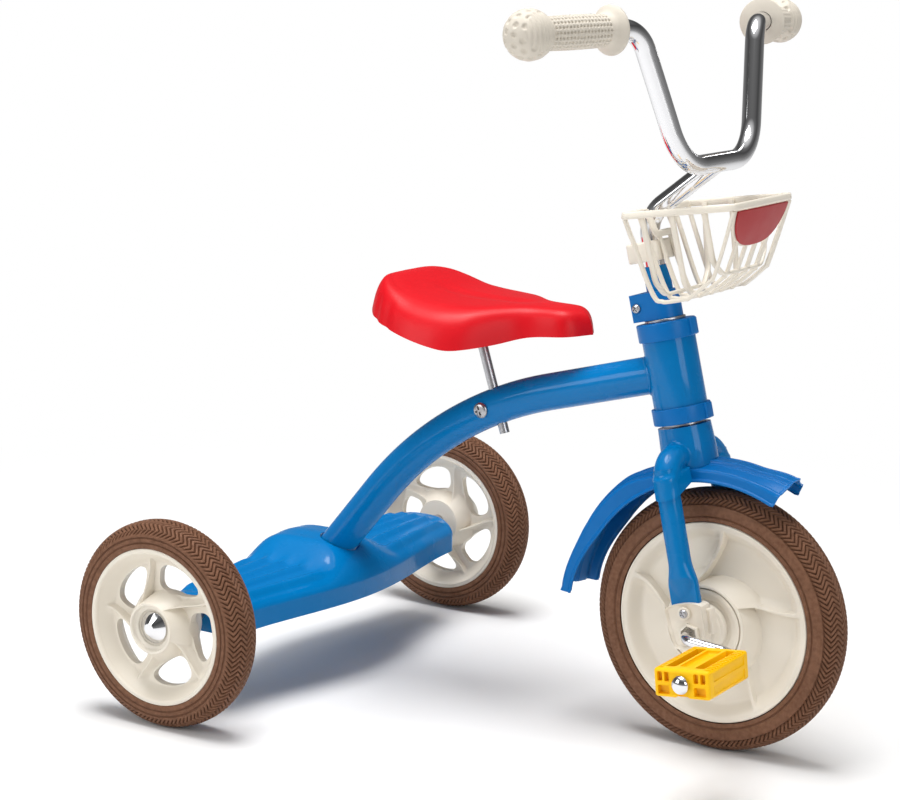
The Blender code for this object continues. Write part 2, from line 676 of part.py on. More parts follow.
def build_pedal_caps(axle):
    """Push-on domes at the ends of the crank, and the washers inside the pedals."""
    bore = CRANK_RADIUS + GAP
    foot, rim = PEDAL_OUTER + GAP, PEDAL_OUTER + PEDAL_CAP_SKIRT
    top, floor = rim + PEDAL_CAP_RISE, PEDAL_OUTER + CRANK_END + GAP
    dome = [(PEDAL_CAP_RADIUS * math.cos(a), rim + PEDAL_CAP_RISE * math.sin(a))
            for a in (math.pi / 2 * i / 3 for i in range(3))]
    cap = [(bore, foot), (PEDAL_CAP_RADIUS, foot)] + dome + [(0.0, top), (0.0, floor), (bore, floor)]
    inner = PEDAL_INNER - GAP
    washer = disc(PEDAL_WASHER_RADIUS, inner - PEDAL_WASHER_THICKNESS, inner, bore)
    for side, sign in SIDES.items():
        centre = crank_corners(sign)[1]
        place = {"location": (centre.x, 0, centre.z), "rotation": (-sign * math.pi / 2, 0, 0), "parent": axle}
        lathe(f"pedal_cap_{side}", cap, CHROME, 14, **place)
        lathe(f"pedal_washer_{side}", washer, ZINC, 14, **place)


def build_pedal(side, sign, axle):
    """A moulded block pedal: toothed rails, end plates, a bored boss and two open windows."""
    centre = crank_corners(sign)[1]
    pivot = make_empty(f"pedal_axis_{side}", (centre.x, 0, centre.z), (0, -PEDAL_TILT, 0), axle)
    low, high = sorted((sign * PEDAL_INNER, sign * PEDAL_OUTER))
    middle, half = (low + high) / 2, (high - low) / 2
    bm = bmesh.new()
    outline = rounded_outline(PEDAL_HALF_LENGTH, half, PEDAL_CORNER, 1, (0.0, middle))
    add_prism(bm, outline, -PEDAL_HALF_HEIGHT, PEDAL_HALF_HEIGHT)
    pedal = make_object(f"pedal_{side}", bm, YELLOW, parent=pivot)
    bm = bmesh.new()
    wide = (PEDAL_HALF_LENGTH - PEDAL_RAIL - PEDAL_BOSS_RADIUS) / 2
    for way in (-1, 1):
        spot = (way * (PEDAL_BOSS_RADIUS + wide), middle)
        reach, deep = half - PEDAL_PLATE, PEDAL_HALF_HEIGHT * 2
        add_box(bm, (spot[0] - wide, spot[1] - reach, -deep), (spot[0] + wide, spot[1] + reach, deep))
    combine(pedal, make_object(f"pedal_windows_{side}", bm, None, parent=pivot))
    combine(pedal, pedal_teeth(f"pedal_teeth_{side}", low, high, pivot))
    bore = rod_cutter(f"pedal_bore_{side}", (0, middle, 0), (0, 1, 0), CRANK_RADIUS + CRANK_CLEARANCE,
                      half * 1.5, 16, pivot)
    combine(pedal, bore)
    return pivot


def pedal_teeth(name, low, high, pivot):
    """Cutter for the notches across the top and bottom edges of both rails."""
    bm = bmesh.new()
    pitch = (high - low) / PEDAL_TEETH
    inner, outer = PEDAL_HALF_LENGTH - PEDAL_RAIL * 1.05, PEDAL_HALF_LENGTH * 1.05
    floor, top = PEDAL_HALF_HEIGHT - PEDAL_TOOTH_DEPTH, PEDAL_HALF_HEIGHT * 1.2
    for i in range(PEDAL_TEETH):
        start = low + pitch * (i + 0.30)
        for x0, x1 in ((-outer, -inner), (inner, outer)):
            for z0, z1 in ((-top, -floor), (floor, top)):
                add_box(bm, (x0, start, z0), (x1, start + pitch * 0.40, z1))
    return make_object(name, bm, None, parent=pivot)


def build_rear_wheel(side, sign):
    """Rear wheel; local Z points outboard, and the left wheel is the right one turned round."""
    turn = (math.pi / 2, 0, 0) if sign < 0 else (math.pi / 2, 0, math.pi)
    place = (REAR_AXLE.x, sign * REAR_WHEEL_OFFSET, REAR_AXLE.z)
    hub = make_empty(f"rear_wheel_axis_{side}", place, turn)
    build_tyre(f"rear_tyre_{side}", REAR_TYRE_RADIUS, REAR_RIM_RADIUS, hub)
    build_rear_rim(f"rear_rim_{side}", hub)
    return hub


# Frame

def backbone_path():
    """Centre line from the steering axis back and down to the rear axle."""
    head = STEER_BASE + STEER_AXIS * BACKBONE_HEAD_HEIGHT
    top, foot = math.tan(BACKBONE_TOP_SLOPE), math.tan(BACKBONE_FOOT_SLOPE)
    x = (head.z - head.x * top - REAR_AXLE.z + REAR_AXLE.x * foot) / (foot - top)
    corner = Vector((x, 0.0, REAR_AXLE.z + (x - REAR_AXLE.x) * foot))
    return rounded_path([head, corner, REAR_AXLE], BACKBONE_BEND_RADIUS, 8)


def post_frame():
    """Foot of the seat post in the world, and its direction."""
    foot = POST_FOOT + Vector((REAR_AXLE_X, 0.0, 0.0))
    return foot, Vector((-math.sin(POST_LEAN), 0.0, math.cos(POST_LEAN)))


def post_crossing():
    """Where the seat post's axis crosses the backbone's centre line."""
    foot, lean = post_frame()
    across = Vector((lean.z, 0.0, -lean.x))
    path = backbone_path()
    for start, end in zip(path, path[1:]):
        a, b = (start - foot).dot(across), (end - foot).dot(across)
        if a * b <= 0:
            return start.lerp(end, a / (a - b))
    return foot


def clamp_place():
    """Axis of the clamp bolt, close behind the post."""
    _, lean = post_frame()
    back = Vector((-lean.z, 0.0, lean.x))
    return post_crossing() + back * (POST_RADIUS + CLAMP_BOLT_RADIUS + 2 * GAP)


def rod_cutter(name, centre, direction, radius, reach, count=16, parent=None):
    """A rod about a point, as the tool for a round hole or a tube's coped end."""
    bm = bmesh.new()
    add_lathe(bm, disc(radius, -reach, reach), count)
    turn = Vector(direction).to_track_quat("Z", "Y").to_euler()
    return make_object(name, bm, None, parent=parent, location=centre, rotation=turn)


def build_backbone():
    backbone = tube("backbone_tube", backbone_path(), BACKBONE_RADIUS, PAINT, 14)
    head = STEER_BASE + STEER_AXIS * BACKBONE_HEAD_HEIGHT
    reach = BACKBONE_RADIUS * 3
    combine(backbone, rod_cutter("head_cope", head, STEER_AXIS, HEAD_TUBE_RADIUS + GAP, reach, 32))
    combine(backbone, rod_cutter("axle_cope", REAR_AXLE, (0, 1, 0), AXLE_TUBE_RADIUS + GAP, reach, 24))
    _, lean = post_frame()
    post_fit = POST_RADIUS + POST_HOLE_CLEARANCE
    combine(backbone, rod_cutter("post_hole", post_crossing(), lean, post_fit, reach, 16))
    combine(backbone, rod_cutter("clamp_hole", clamp_place(), (0, 1, 0), CLAMP_BOLT_RADIUS + GAP, reach, 12))


def build_clamp_bolt():
    """Through bolt with a low round head on the right and a hexagon nut on the left."""
    place = clamp_place()
    face = BACKBONE_RADIUS + GAP
    end, crown = face + CLAMP_NUT_HEIGHT * 1.3, face + CLAMP_HEAD_HEIGHT
    outline = [(0.0, -end), (CLAMP_BOLT_RADIUS, -end), (CLAMP_BOLT_RADIUS, face), (CLAMP_HEAD_RADIUS, face),
               (CLAMP_HEAD_RADIUS, (face + crown) / 2), (CLAMP_HEAD_RADIUS * 0.75, crown), (0.0, crown)]
    lathe("seat_clamp_bolt", outline, ZINC, 12, location=place, rotation=(math.pi / 2, 0, 0))
    hexagon_bore = (CLAMP_BOLT_RADIUS + GAP) / math.cos(math.pi / 6)
    nut = disc(CLAMP_HEAD_RADIUS, -face - CLAMP_NUT_HEIGHT, -face, hexagon_bore)
    lathe("seat_clamp_nut", nut, ZINC, 6, location=place, rotation=(math.pi / 2, 0, 0))


def cup_rings(profile, count=24):
    """Rings of a headset cup; its outer rows carry a raised tab over the three front columns."""
    rings = []
    for radius, height in profile:
        ring = []
        for i in range(count):
            raised = radius == HEAD_CUP_RADIUS and i in (0, 1, count - 1)
            ring.append(polar_point(radius + CUP_TAB_HEIGHT * raised, math.tau * i / count, height))
        rings.append(ring)
    return rings


def build_head():
    """Head tube pressed between two plastic cups that line the steerer; it belongs to the frame."""
    head = make_empty("head_frame", STEER_BASE, (0, -RAKE, 0))
    bore = STEERER_RADIUS + AXLE_CLEARANCE
    low, high = HEAD_LOWER_CUP_TOP - HEAD_CUP_DEPTH, HEAD_UPPER_CUP_BOTTOM + HEAD_CUP_DEPTH
    ring = disc(HEAD_TUBE_RADIUS, low, high, HEAD_TUBE_RADIUS - HEAD_TUBE_WALL)
    lathe("head_tube", ring, PAINT, 24, parent=head)
    pocket = HEAD_TUBE_RADIUS + GAP
    ends = {"upper_cup": (HEAD_UPPER_CUP_BOTTOM, HEAD_UPPER_CUP_TOP, high + GAP),
            "lower_cup": (HEAD_LOWER_CUP_TOP, HEAD_LOWER_CUP_BOTTOM, low - GAP)}
    for name, (mouth, face, floor) in ends.items():
        profile = [(bore, face), (HEAD_CUP_RADIUS, face), (HEAD_CUP_RADIUS, mouth), (pocket, mouth),
                   (pocket, floor), (bore, floor)]
        bm = bmesh.new()
        add_loft(bm, cup_rings(profile), closed=True)
        make_object(name, bm, BLUE_PLASTIC, parent=head)


def platform_half_width(y):
    share = 0.5 + 0.5 * math.cos(math.pi * min(1.0, abs(y) / (PLATFORM_HALF_LENGTH * 1.03)))
    return PLATFORM_HALF_WIDTH_END + (PLATFORM_HALF_WIDTH_MIDDLE - PLATFORM_HALF_WIDTH_END) * share


def platform_section(y):
    """Section of the pressed shell: skirt, fold, ribbed deck and the hump round the backbone."""
    half = platform_half_width(y)
    hump = blend(abs(y), [(0.0, 1.0), (PLATFORM_HUMP_REACH * 0.25, 0.93), (PLATFORM_HUMP_REACH, 0.0)])
    ribs = blend(abs(y), [(PLATFORM_HUMP_REACH * 0.7, 0.0), (PLATFORM_HUMP_REACH * 1.15, 1.0),
                          (PLATFORM_HALF_LENGTH * 0.90, 1.0), (PLATFORM_HALF_LENGTH * 0.97, 0.0)])
    deck = PLATFORM_TOP_HEIGHT + (PLATFORM_HUMP_HEIGHT - PLATFORM_TOP_HEIGHT) * hump
    points = [(half, PLATFORM_SKIRT_BOTTOM), (half, PLATFORM_FOLD_HEIGHT - PLATFORM_FOLD_BAND),
              (half - PLATFORM_FOLD_STEP, PLATFORM_FOLD_HEIGHT)]
    shoulder = PLATFORM_FOLD_HEIGHT + PLATFORM_DECK_STEP
    count = 2 * PLATFORM_RIB_COUNT
    for i in range(count + 1):
        share = 1 - 2 * i / count
        power = 2.6 + 2.4 * hump * (share < 0)
        crown = (1 - abs(share) ** power) ** 0.75
        height = shoulder + (deck - shoulder) * crown
        if i % 2 == 0 and 0 < i < count:
            height -= PLATFORM_RIB_DEPTH * ribs
        points.append((share * (half - PLATFORM_DECK_INSET), height))
    points += [(-x, z) for x, z in points[2::-1]]
    return [(x, y, z) for x, z in points]


def build_platform():
    """Pressed steel shell, open underneath, that covers the axle tube."""
    shares = (0.0, 0.12, 0.26, 0.40, 0.56, 0.90, 1.0)
    stations = [-PLATFORM_HALF_LENGTH * share for share in shares[:0:-1]]
    stations += [PLATFORM_HALF_LENGTH * share for share in shares]
    bm = bmesh.new()
    rows = [[bm.verts.new(p) for p in platform_section(y)] for y in stations]
    for low, high in zip(rows, rows[1:]):
        for i in range(len(low) - 1):
            bm.faces.new((low[i], high[i], high[i + 1], low[i + 1]))
    bm.faces.new(rows[0])
    bm.faces.new(rows[-1][::-1])
    shell = make_object("rear_platform", bm, PAINT, location=(REAR_AXLE.x, 0, 0), closed=False)
    thicken(shell, PLATFORM_SHEET)
    foot = Vector((math.cos(BACKBONE_FOOT_SLOPE), 0, math.sin(BACKBONE_FOOT_SLOPE)))
    reach = PLATFORM_HUMP_HEIGHT - REAR_TYRE_RADIUS
    spot = REAR_AXLE + foot * (reach + AXLE_TUBE_RADIUS)
    combine(shell, rod_cutter("backbone_hole", spot, foot, BACKBONE_RADIUS + GAP * 2, reach, 24))
    axle_fit = REAR_AXLE_RADIUS + AXLE_CLEARANCE
    combine(shell, rod_cutter("axle_hole", REAR_AXLE, (0, 1, 0), axle_fit, PLATFORM_HALF_LENGTH * 1.5, 16))


def build_rear_axle():
    """Cross tube, axle rod, spacers and the push-on caps outside the hubs."""
    turn = (math.pi / 2, 0, 0)
    half = PLATFORM_HALF_LENGTH - PLATFORM_SHEET - GAP
    bore = REAR_AXLE_RADIUS + AXLE_CLEARANCE
    lathe("axle_tube", disc(AXLE_TUBE_RADIUS, -half, half, bore), PAINT, 16, location=REAR_AXLE, rotation=turn)
    cap_seat = REAR_WHEEL_OFFSET + REAR_HUB_OUTBOARD - REAR_HUB_RECESS + GAP
    rod_end = cap_seat + REAR_CAP_HEIGHT * 0.5
    rod = [(0.0, -rod_end), (REAR_AXLE_RADIUS, -rod_end), (REAR_AXLE_RADIUS, rod_end), (0.0, rod_end)]
    lathe("rear_axle", rod, ZINC, 16, location=REAR_AXLE, rotation=turn)
    inner = PLATFORM_HALF_LENGTH + GAP
    fit = REAR_AXLE_RADIUS + GAP
    spacer = disc(SPACER_RADIUS, inner, inner + SPACER_LENGTH, fit)
    crest = [(REAR_CAP_RADIUS * share, cap_seat + REAR_CAP_HEIGHT * rise) for share, rise in REAR_CAP_CREST]
    cap = [(fit, cap_seat)] + crest + [(0.0, rod_end + GAP), (fit, rod_end + GAP)]
    for side, sign in SIDES.items():
        place = {"location": REAR_AXLE, "rotation": (-sign * math.pi / 2, 0, 0)}
        lathe(f"rear_spacer_{side}", spacer, ZINC, 16, **place)
        lathe(f"rear_cap_{side}", cap, CHROME, 16, **place)


# Steering

def build_steerer(steering):
    """Steerer with a slit behind its top, and the two washers on which it turns."""
    foot = CROWN_TOP - STEERER_FOOT_DEPTH
    ring = disc(STEERER_RADIUS, foot, STEERER_TOP, STEERER_BORE)
    steerer = lathe("steerer_tube", ring, PAINT, 20, parent=steering)
    wall, half = STEERER_RADIUS - STEERER_BORE, STEERER_SLIT / 2
    bm = bmesh.new()
    low, high = COLLAR_TOP + wall, STEERER_TOP + wall
    add_box(bm, (-STEERER_RADIUS - wall, -half, low), (-STEERER_BORE + wall, half, high))
    combine(steerer, make_object("steerer_slit", bm, None, parent=steering))
    fit = STEERER_RADIUS + GAP
    gaps = {"lower_washer": (CROWN_TOP + GAP, HEAD_LOWER_CUP_BOTTOM - GAP),
            "upper_washer": (HEAD_UPPER_CUP_TOP + GAP, COLLAR_BOTTOM - GAP)}
    for name, (low, high) in gaps.items():
        lathe(name, disc(WASHER_RADIUS, low, high, fit), ZINC, 16, parent=steering)


def build_collar(steering):
    """Split clamp collar: round in front, square behind, with a cross screw."""
    arc = [(COLLAR_RADIUS * math.cos(a), COLLAR_RADIUS * math.sin(a))
           for a in (math.radians(-90 + 180 * i / 8) for i in range(9))]
    side, back, corner = COLLAR_RADIUS, COLLAR_BACK, COLLAR_CORNER
    outline = arc + [(-back + corner, side), (-back, side - corner),
                     (-back, -side + corner), (-back + corner, -side)]
    bm = bmesh.new()
    add_prism(bm, outline, COLLAR_BOTTOM, COLLAR_TOP)
    collar = make_object("stem_collar", bm, BLUE_PLASTIC, parent=steering)
    middle, reach = (COLLAR_BOTTOM + COLLAR_TOP) / 2, COLLAR_TOP - COLLAR_BOTTOM
    bore = rod_cutter("collar_bore", (0, 0, middle), (0, 0, 1), STEERER_RADIUS + GAP, reach, 20, steering)
    combine(collar, bore)
    bm = bmesh.new()
    half, front = COLLAR_SPLIT / 2, -STEERER_RADIUS + corner
    add_box(bm, (-back - corner, -half, COLLAR_BOTTOM - corner), (front, half, COLLAR_TOP + corner))
    combine(collar, make_object("collar_split", bm, None, parent=steering))
    screw = Vector((-(STEERER_RADIUS + COLLAR_BACK) / 2, 0, middle))
    hole = rod_cutter("collar_screw_hole", screw, (0, 1, 0), COLLAR_SCREW_RADIUS + GAP, 2 * side, 12, steering)
    combine(collar, hole)
    seat, thin = side + GAP, COLLAR_SCREW_RADIUS
    wide, end = COLLAR_SCREW_HEAD, side + GAP + COLLAR_SCREW_HEIGHT
    profile = [(0.0, -seat), (thin, -seat), (thin, seat), (wide, seat), (wide, end), (0.0, end)]
    lathe("collar_screw", profile, ZINC, 12, location=screw, rotation=(math.pi / 2, 0, 0), parent=steering)


def fender_step():
    return (FENDER_TAIL_ANGLE - FENDER_NOSE_ANGLE) / FENDER_STEPS


def fender_section():
    """Outer outline of the fender across the wheel, as (y, radius) from right to left."""
    half = [(-FENDER_HALF_WIDTH, FENDER_EDGE_RADIUS),
            (-FENDER_HALF_WIDTH, FENDER_RADIUS - FENDER_BAND_RISE * 2),
            (-FENDER_BAND_HALF_WIDTH, FENDER_RADIUS),
            (-FENDER_BAND_HALF_WIDTH * 0.9, FENDER_RADIUS + FENDER_BAND_RISE)]
    return half + [(-y, r) for y, r in half[::-1]]


def fender_ring(angle, grow=0.0, inner=None):
    """Section ring at one angle about the wheel; grow spreads it, inner closes it lower down."""
    degrees = math.degrees(angle)
    nose = math.degrees(FENDER_NOSE_ANGLE)
    rise = blend(degrees, [(nose, FENDER_NOSE_FLARE), (nose + 20.0, 0.0)]) + blend(degrees, FENDER_SPREAD)
    edge = FENDER_EDGE_RADIUS + blend(degrees, FENDER_SKIRT_SPREAD)
    section = fender_section()
    outer = [(y + math.copysign(grow, y), r + rise + grow) for y, r in section[1:-1]]
    outer = [(outer[0][0], edge)] + outer + [(outer[-1][0], edge)]
    if inner is None:
        scale = 1 - FENDER_SHEET / FENDER_HALF_WIDTH
        under = [(y * scale, r + rise - FENDER_SHEET) for y, r in section[1:-1]]
        closing = [(under[-1][0], edge)] + under[::-1] + [(under[0][0], edge)]
    else:
        closing = [(outer[-1][0], inner), (outer[0][0], inner)]
    return [(r * math.cos(angle), y, r * math.sin(angle)) for y, r in outer + closing]


def build_fender(steering):
    wheel = make_empty("fender_frame", (FORK_TRAIL_OFFSET, 0, 0), (0, RAKE, 0), steering)
    bm = bmesh.new()
    add_loft(bm, [fender_ring(FENDER_NOSE_ANGLE + fender_step() * i) for i in range(FENDER_STEPS + 1)])
    fender = make_object("fender", bm, BLUE_PLASTIC, parent=wheel)
    place = (0, 0, FENDER_RADIUS)
    fit, reach = FENDER_SCREW_RADIUS + GAP, FENDER_RADIUS - FENDER_EDGE_RADIUS
    combine(fender, rod_cutter("fender_screw_hole", place, (0, 0, 1), fit, reach, 12, steering))
    return wheel


def build_crown(steering, wheel):
    """Crown column: bored for the steerer and shaped underneath to the fender."""
    screw = FENDER_SCREW_RADIUS + GAP
    seat = CROWN_TOP - STEERER_FOOT_DEPTH - GAP
    edge = CROWN_FOOT_RADIUS - CROWN_TOP_RADIUS
    profile = [(screw, FENDER_EDGE_RADIUS), (CROWN_FOOT_RADIUS, FENDER_EDGE_RADIUS), (CROWN_FOOT_RADIUS, seat),
               (CROWN_TOP_RADIUS, CROWN_TOP - edge), (CROWN_TOP_RADIUS - edge, CROWN_TOP),
               (STEERER_RADIUS + GAP, CROWN_TOP), (STEERER_RADIUS + GAP, seat), (screw, seat)]
    crown = lathe("fork_crown", profile, PAINT, 20, parent=steering)
    middle = math.pi / 2 + RAKE
    floor = FENDER_EDGE_RADIUS - FENDER_HALF_WIDTH
    bm = bmesh.new()
    add_loft(bm, [fender_ring(middle + math.radians(4.0 * i), GAP * 2, floor) for i in range(-3, 4)])
    combine(crown, make_object("fender_envelope", bm, None, parent=wheel))
    under = (FENDER_RADIUS + FENDER_BAND_RISE - FENDER_SHEET) * math.cos(fender_step() / 2)
    wide, thin, tall = FENDER_SCREW_RADIUS * 2, FENDER_SCREW_RADIUS, FENDER_SCREW_HEAD
    head = math.sqrt(under ** 2 - (wide + FORK_TRAIL_OFFSET) ** 2) - GAP
    end = seat - GAP
    bolt = [(0.0, head - tall), (wide, head - tall), (wide, head), (thin, head), (thin, end), (0.0, end)]
    lathe("fender_screw", bolt, ZINC, 12, parent=steering)


def leg_stations(sign):
    """Centre points and section radii of one fork leg, from the crown down to its flat foot."""
    shoulder = Vector((0, sign * LEG_SHOULDER_OFFSET, LEG_SHOULDER_HEIGHT))
    start = Vector((0, sign * (CROWN_FOOT_RADIUS - LEG_ROOT_DEPTH), LEG_SHOULDER_HEIGHT))
    foot = Vector((0, sign * LEG_FOOT_OFFSET, LEG_FOOT_END))
    path = rounded_path([start, shoulder, foot], LEG_BEND_RADIUS, 5)[:-1]
    radii = [LEG_SLEEVE_RADIUS] * len(path)
    flat = (LEG_FOOT_HALF_WIDTH, LEG_FOOT_HALF_THICKNESS)
    oval = (LEG_RADIUS * 1.10, LEG_RADIUS * 0.80)
    stations = [(LEG_SLEEVE_END, LEG_SLEEVE_RADIUS), (LEG_SLEEVE_END - LEG_SLEEVE_STEP, LEG_RADIUS),
                (BLOCK_TOP + 1.2 * LEG_FLATTENING, LEG_RADIUS), (BLOCK_TOP + 0.6 * LEG_FLATTENING, oval),
                (BLOCK_TOP + GAP, flat), (LEG_FOOT_END, flat)]
    for height, section in stations:
        path.append(shoulder.lerp(foot, (shoulder.z - height) / (shoulder.z - foot.z)))
        radii.append(section)
    return path, radii


def build_leg(side, sign, steering):
    path, radii = leg_stations(sign)
    bm = bmesh.new()
    add_loft(bm, tube_rings(path, radii, 10, Vector((1, 0, 0))))
    leg = make_object(f"fork_leg_{side}", bm, PAINT, parent=steering)
    column, reach = (0, 0, LEG_SHOULDER_HEIGHT), LEG_SLEEVE_RADIUS * 2
    around = CROWN_FOOT_RADIUS + GAP
    combine(leg, rod_cutter(f"crown_cope_{side}", column, (0, 0, 1), around, reach, 20, steering))
    hole, fit = Vector((0, sign * BLOCK_OUTER, BLOCK_SCREW_HEIGHT)), BLOCK_SCREW_RADIUS + GAP
    combine(leg, rod_cutter(f"leg_screw_hole_{side}", hole, (0, 1, 0), fit, reach, 10, steering))


def block_outline():
    """Front view of an axle block: an arched top and a narrower foot with clipped corners."""
    top, foot, clip = BLOCK_TOP - BLOCK_ARCH, BLOCK_HALF_WIDTH * 0.82, BLOCK_CORNER
    arc = [(BLOCK_HALF_WIDTH * math.sin(a), top + BLOCK_ARCH * math.cos(a))
           for a in (math.radians(90 - 30 * i) for i in range(7))]
    return arc + [(-foot, -BLOCK_BOTTOM + clip), (-foot + clip, -BLOCK_BOTTOM),
                  (foot - clip, -BLOCK_BOTTOM), (foot, -BLOCK_BOTTOM + clip)]


def build_block(side, sign, steering):
    """Bearing block clipped over the flat foot of the leg, with a hexagon mouth round the crank."""
    bm = bmesh.new()
    low, high = sorted((sign * BLOCK_INNER, sign * BLOCK_OUTER))
    add_prism(bm, block_outline(), low, high, "y")
    block = make_object(f"axle_block_{side}", bm, CREAM, parent=steering)
    axle, turn = (FORK_TRAIL_OFFSET, 0, 0), (-sign * math.pi / 2, 0, 0)
    at_axle = {"parent": steering, "location": axle, "rotation": turn}
    face = FRONT_COLLAR_HALF_WIDTH - HUB_COVER_RECESS + GAP
    sunk = BLOCK_INNER + BLOCK_CORNER
    neck = BLOCK_HALF_WIDTH * 0.60
    wide = BLOCK_BOSS_RADIUS
    boss = [(0.0, face), (wide, face), (wide, face + BLOCK_BOSS_DEPTH), (neck, sunk), (0.0, sunk)]
    combine(block, lathe(f"block_boss_{side}", boss, None, 14, **at_axle), "UNION")
    fit = CRANK_RADIUS + CRANK_CLEARANCE
    combine(block, rod_cutter(f"block_bore_{side}", axle, (0, 1, 0), fit, BLOCK_OUTER * 1.5, 16, steering))
    bm = bmesh.new()
    middle, room = sign * LEG_FOOT_OFFSET, GAP * 2
    wide, thick = LEG_FOOT_HALF_WIDTH + room, LEG_FOOT_HALF_THICKNESS + room
    add_box(bm, (-wide, middle - thick, LEG_FOOT_END - GAP), (wide, middle + thick, BLOCK_TOP * 1.5))
    combine(block, make_object(f"block_pocket_{side}", bm, None, parent=steering))
    hexagon = disc(BLOCK_HEX_RADIUS, BLOCK_OUTER - BLOCK_HEX_DEPTH, BLOCK_OUTER + BLOCK_HEX_DEPTH)
    combine(block, lathe(f"block_hex_{side}", hexagon, None, 6, **at_axle))
    spot, fit = Vector((0, sign * BLOCK_OUTER, BLOCK_SCREW_HEIGHT)), BLOCK_SCREW_RADIUS + GAP
    reach = BLOCK_SCREW_LENGTH + GAP
    combine(block, rod_cutter(f"block_screw_hole_{side}", spot, (0, 1, 0), fit, reach, 10, steering))
    build_block_screw(side, turn, steering)


def build_block_screw(side, turn, steering):
    seat = BLOCK_OUTER + GAP
    wide, thin = BLOCK_SCREW_HEAD, BLOCK_SCREW_RADIUS
    end, crown = seat - BLOCK_SCREW_LENGTH, seat + BLOCK_SCREW_HEIGHT_OF_HEAD
    profile = [(0.0, end), (thin, end), (thin, seat), (wide, seat), (wide, (seat + crown) / 2),
               (wide * 0.63, crown), (0.0, crown)]
    lathe(f"block_screw_{side}", profile, ZINC, 10, parent=steering, rotation=turn,
          location=(0, 0, BLOCK_SCREW_HEIGHT))


def bar_corners(sign):
    return [Vector((BAR_LOW_REACH, sign * BAR_LOW_HALF_WIDTH, BAR_LOW_HEIGHT)),
            Vector((BAR_HIGH_REACH, sign * BAR_HIGH_HALF_WIDTH, BAR_HIGH_HEIGHT)),
            Vector((GRIP_BALL_REACH, sign * GRIP_BALL_OFFSET, GRIP_BALL_HEIGHT))]


def build_handlebar(steering):
    """High-rise bar on a stem that leans forward over the basket."""
    right, left = bar_corners(-1.0), bar_corners(1.0)
    inset = (right[1] - right[2]).normalized() * GRIP_BAR_INSET
    ends = right[2] + inset, left[2] + Vector((inset.x, -inset.y, inset.z))
    path = rounded_path([ends[0], right[1], right[0], left[0], left[1], ends[1]], BAR_BEND_RADIUS, 4)
    tube("handlebar", path, BAR_RADIUS, CHROME, 10, side=Vector((1, 0, 0)), parent=steering)
    bar = Vector((BAR_LOW_REACH, 0, BAR_LOW_HEIGHT))
    path = rounded_path([Vector((0, 0, STEM_FOOT)), Vector((0, 0, STEM_BEND_HEIGHT)), bar], STEM_BEND_RADIUS, 5)
    stem = tube("handlebar_stem", path, BAR_RADIUS, CHROME, 12, parent=steering)
    combine(stem, rod_cutter("bar_cope", bar, (0, 1, 0), BAR_RADIUS + GAP, BAR_RADIUS * 3, 24, steering))


def build_grip(side, sign, steering):
    """Moulded grip: flange, barrelled handle and a ball end, open at the flange for the bar."""
    _, corner, ball = bar_corners(sign)
    turn = (ball - corner).to_track_quat("Z", "Y").to_euler()
    bore, floor = BAR_RADIUS + GAP, GAP - GRIP_BAR_INSET
    neck = GRIP_HANDLE_RADIUS * 0.95
    first = math.asin(neck / GRIP_BALL_RADIUS)
    arc = [first + (math.pi - first) * i / 6 for i in range(7)]
    start, flange = -GRIP_LENGTH, GRIP_FLANGE_THICKNESS
    profile = [(bore, start), (GRIP_FLANGE_RADIUS, start), (GRIP_FLANGE_RADIUS, start + flange),
               (GRIP_HANDLE_RADIUS, start + flange * 2.6),
               (GRIP_HANDLE_RADIUS * 1.04, start * 0.55), (neck, start * 0.22)]
    profile += [(GRIP_BALL_RADIUS * math.sin(a), -GRIP_BALL_RADIUS * math.cos(a)) for a in arc[:-1]]
    profile += [(0.0, GRIP_BALL_RADIUS), (0.0, floor), (bore, floor)]
    lathe(f"grip_{side}", profile, CREAM, 14, parent=steering, location=ball, rotation=turn)


# Basket, one moulding of flat bars

def basket_lines():
    """Edges of the lengthwise bars and of the stem's notch, from right to left."""
    half = BASKET_BAR_WIDTH / 2
    inner, middle, outer = BASKET_BARS
    lines = [inner - half, inner + half, BASKET_NOTCH, BASKET_NOTCH + BASKET_RIM_HEIGHT]
    lines += [middle - half, middle + half, outer - half, outer + half]
    return [-y for y in lines[::-1]] + lines


def basket_cell(row, column):
    """Whether the skin has a face between two rows and two lines."""
    first, last = BASKET_NOTCH_COLUMNS
    if first <= column <= last and row <= BASKET_NOTCH_ROW:
        return column in BASKET_NOTCH_COLUMNS or row == BASKET_NOTCH_ROW
    return column in BASKET_BAR_COLUMNS or row in BASKET_RIM_ROWS or row in BASKET_HOOPS


def basket_side(hoop):
    """Where a cross bar meets the side rim: reach, half width and height of the rim's top edge."""
    (first, high, wide), (last, low, narrow) = BASKET_ROWS[0], BASKET_ROWS[-1]
    points = []
    for shift in (-BASKET_BAR_WIDTH / 2, BASKET_BAR_WIDTH / 2):
        reach = BASKET_HOOPS[hoop] + shift
        share = (reach - first) / (last - first)
        half = BASKET_HALF_WIDTH * (wide + (narrow - wide) * share)
        points.append((reach, half, high + (low - high) * share))
    return points


def basket_net(bm):
    """Corner points of the skin's faces by row and line, with the faces between them."""
    lines = basket_lines()
    net = {}
    for row in range(len(BASKET_ROWS) - 1):
        for column in range(len(lines) - 1):
            if not basket_cell(row, column):
                continue
            corners = ((row, column), (row, column + 1), (row + 1, column + 1), (row + 1, column))
            for r, c in corners:
                reach, height, spread = BASKET_ROWS[r]
                if (r, c) not in net:
                    net[r, c] = bm.verts.new((reach, lines[c] * spread, height))
            bm.faces.new([net[corner] for corner in corners])
    return net


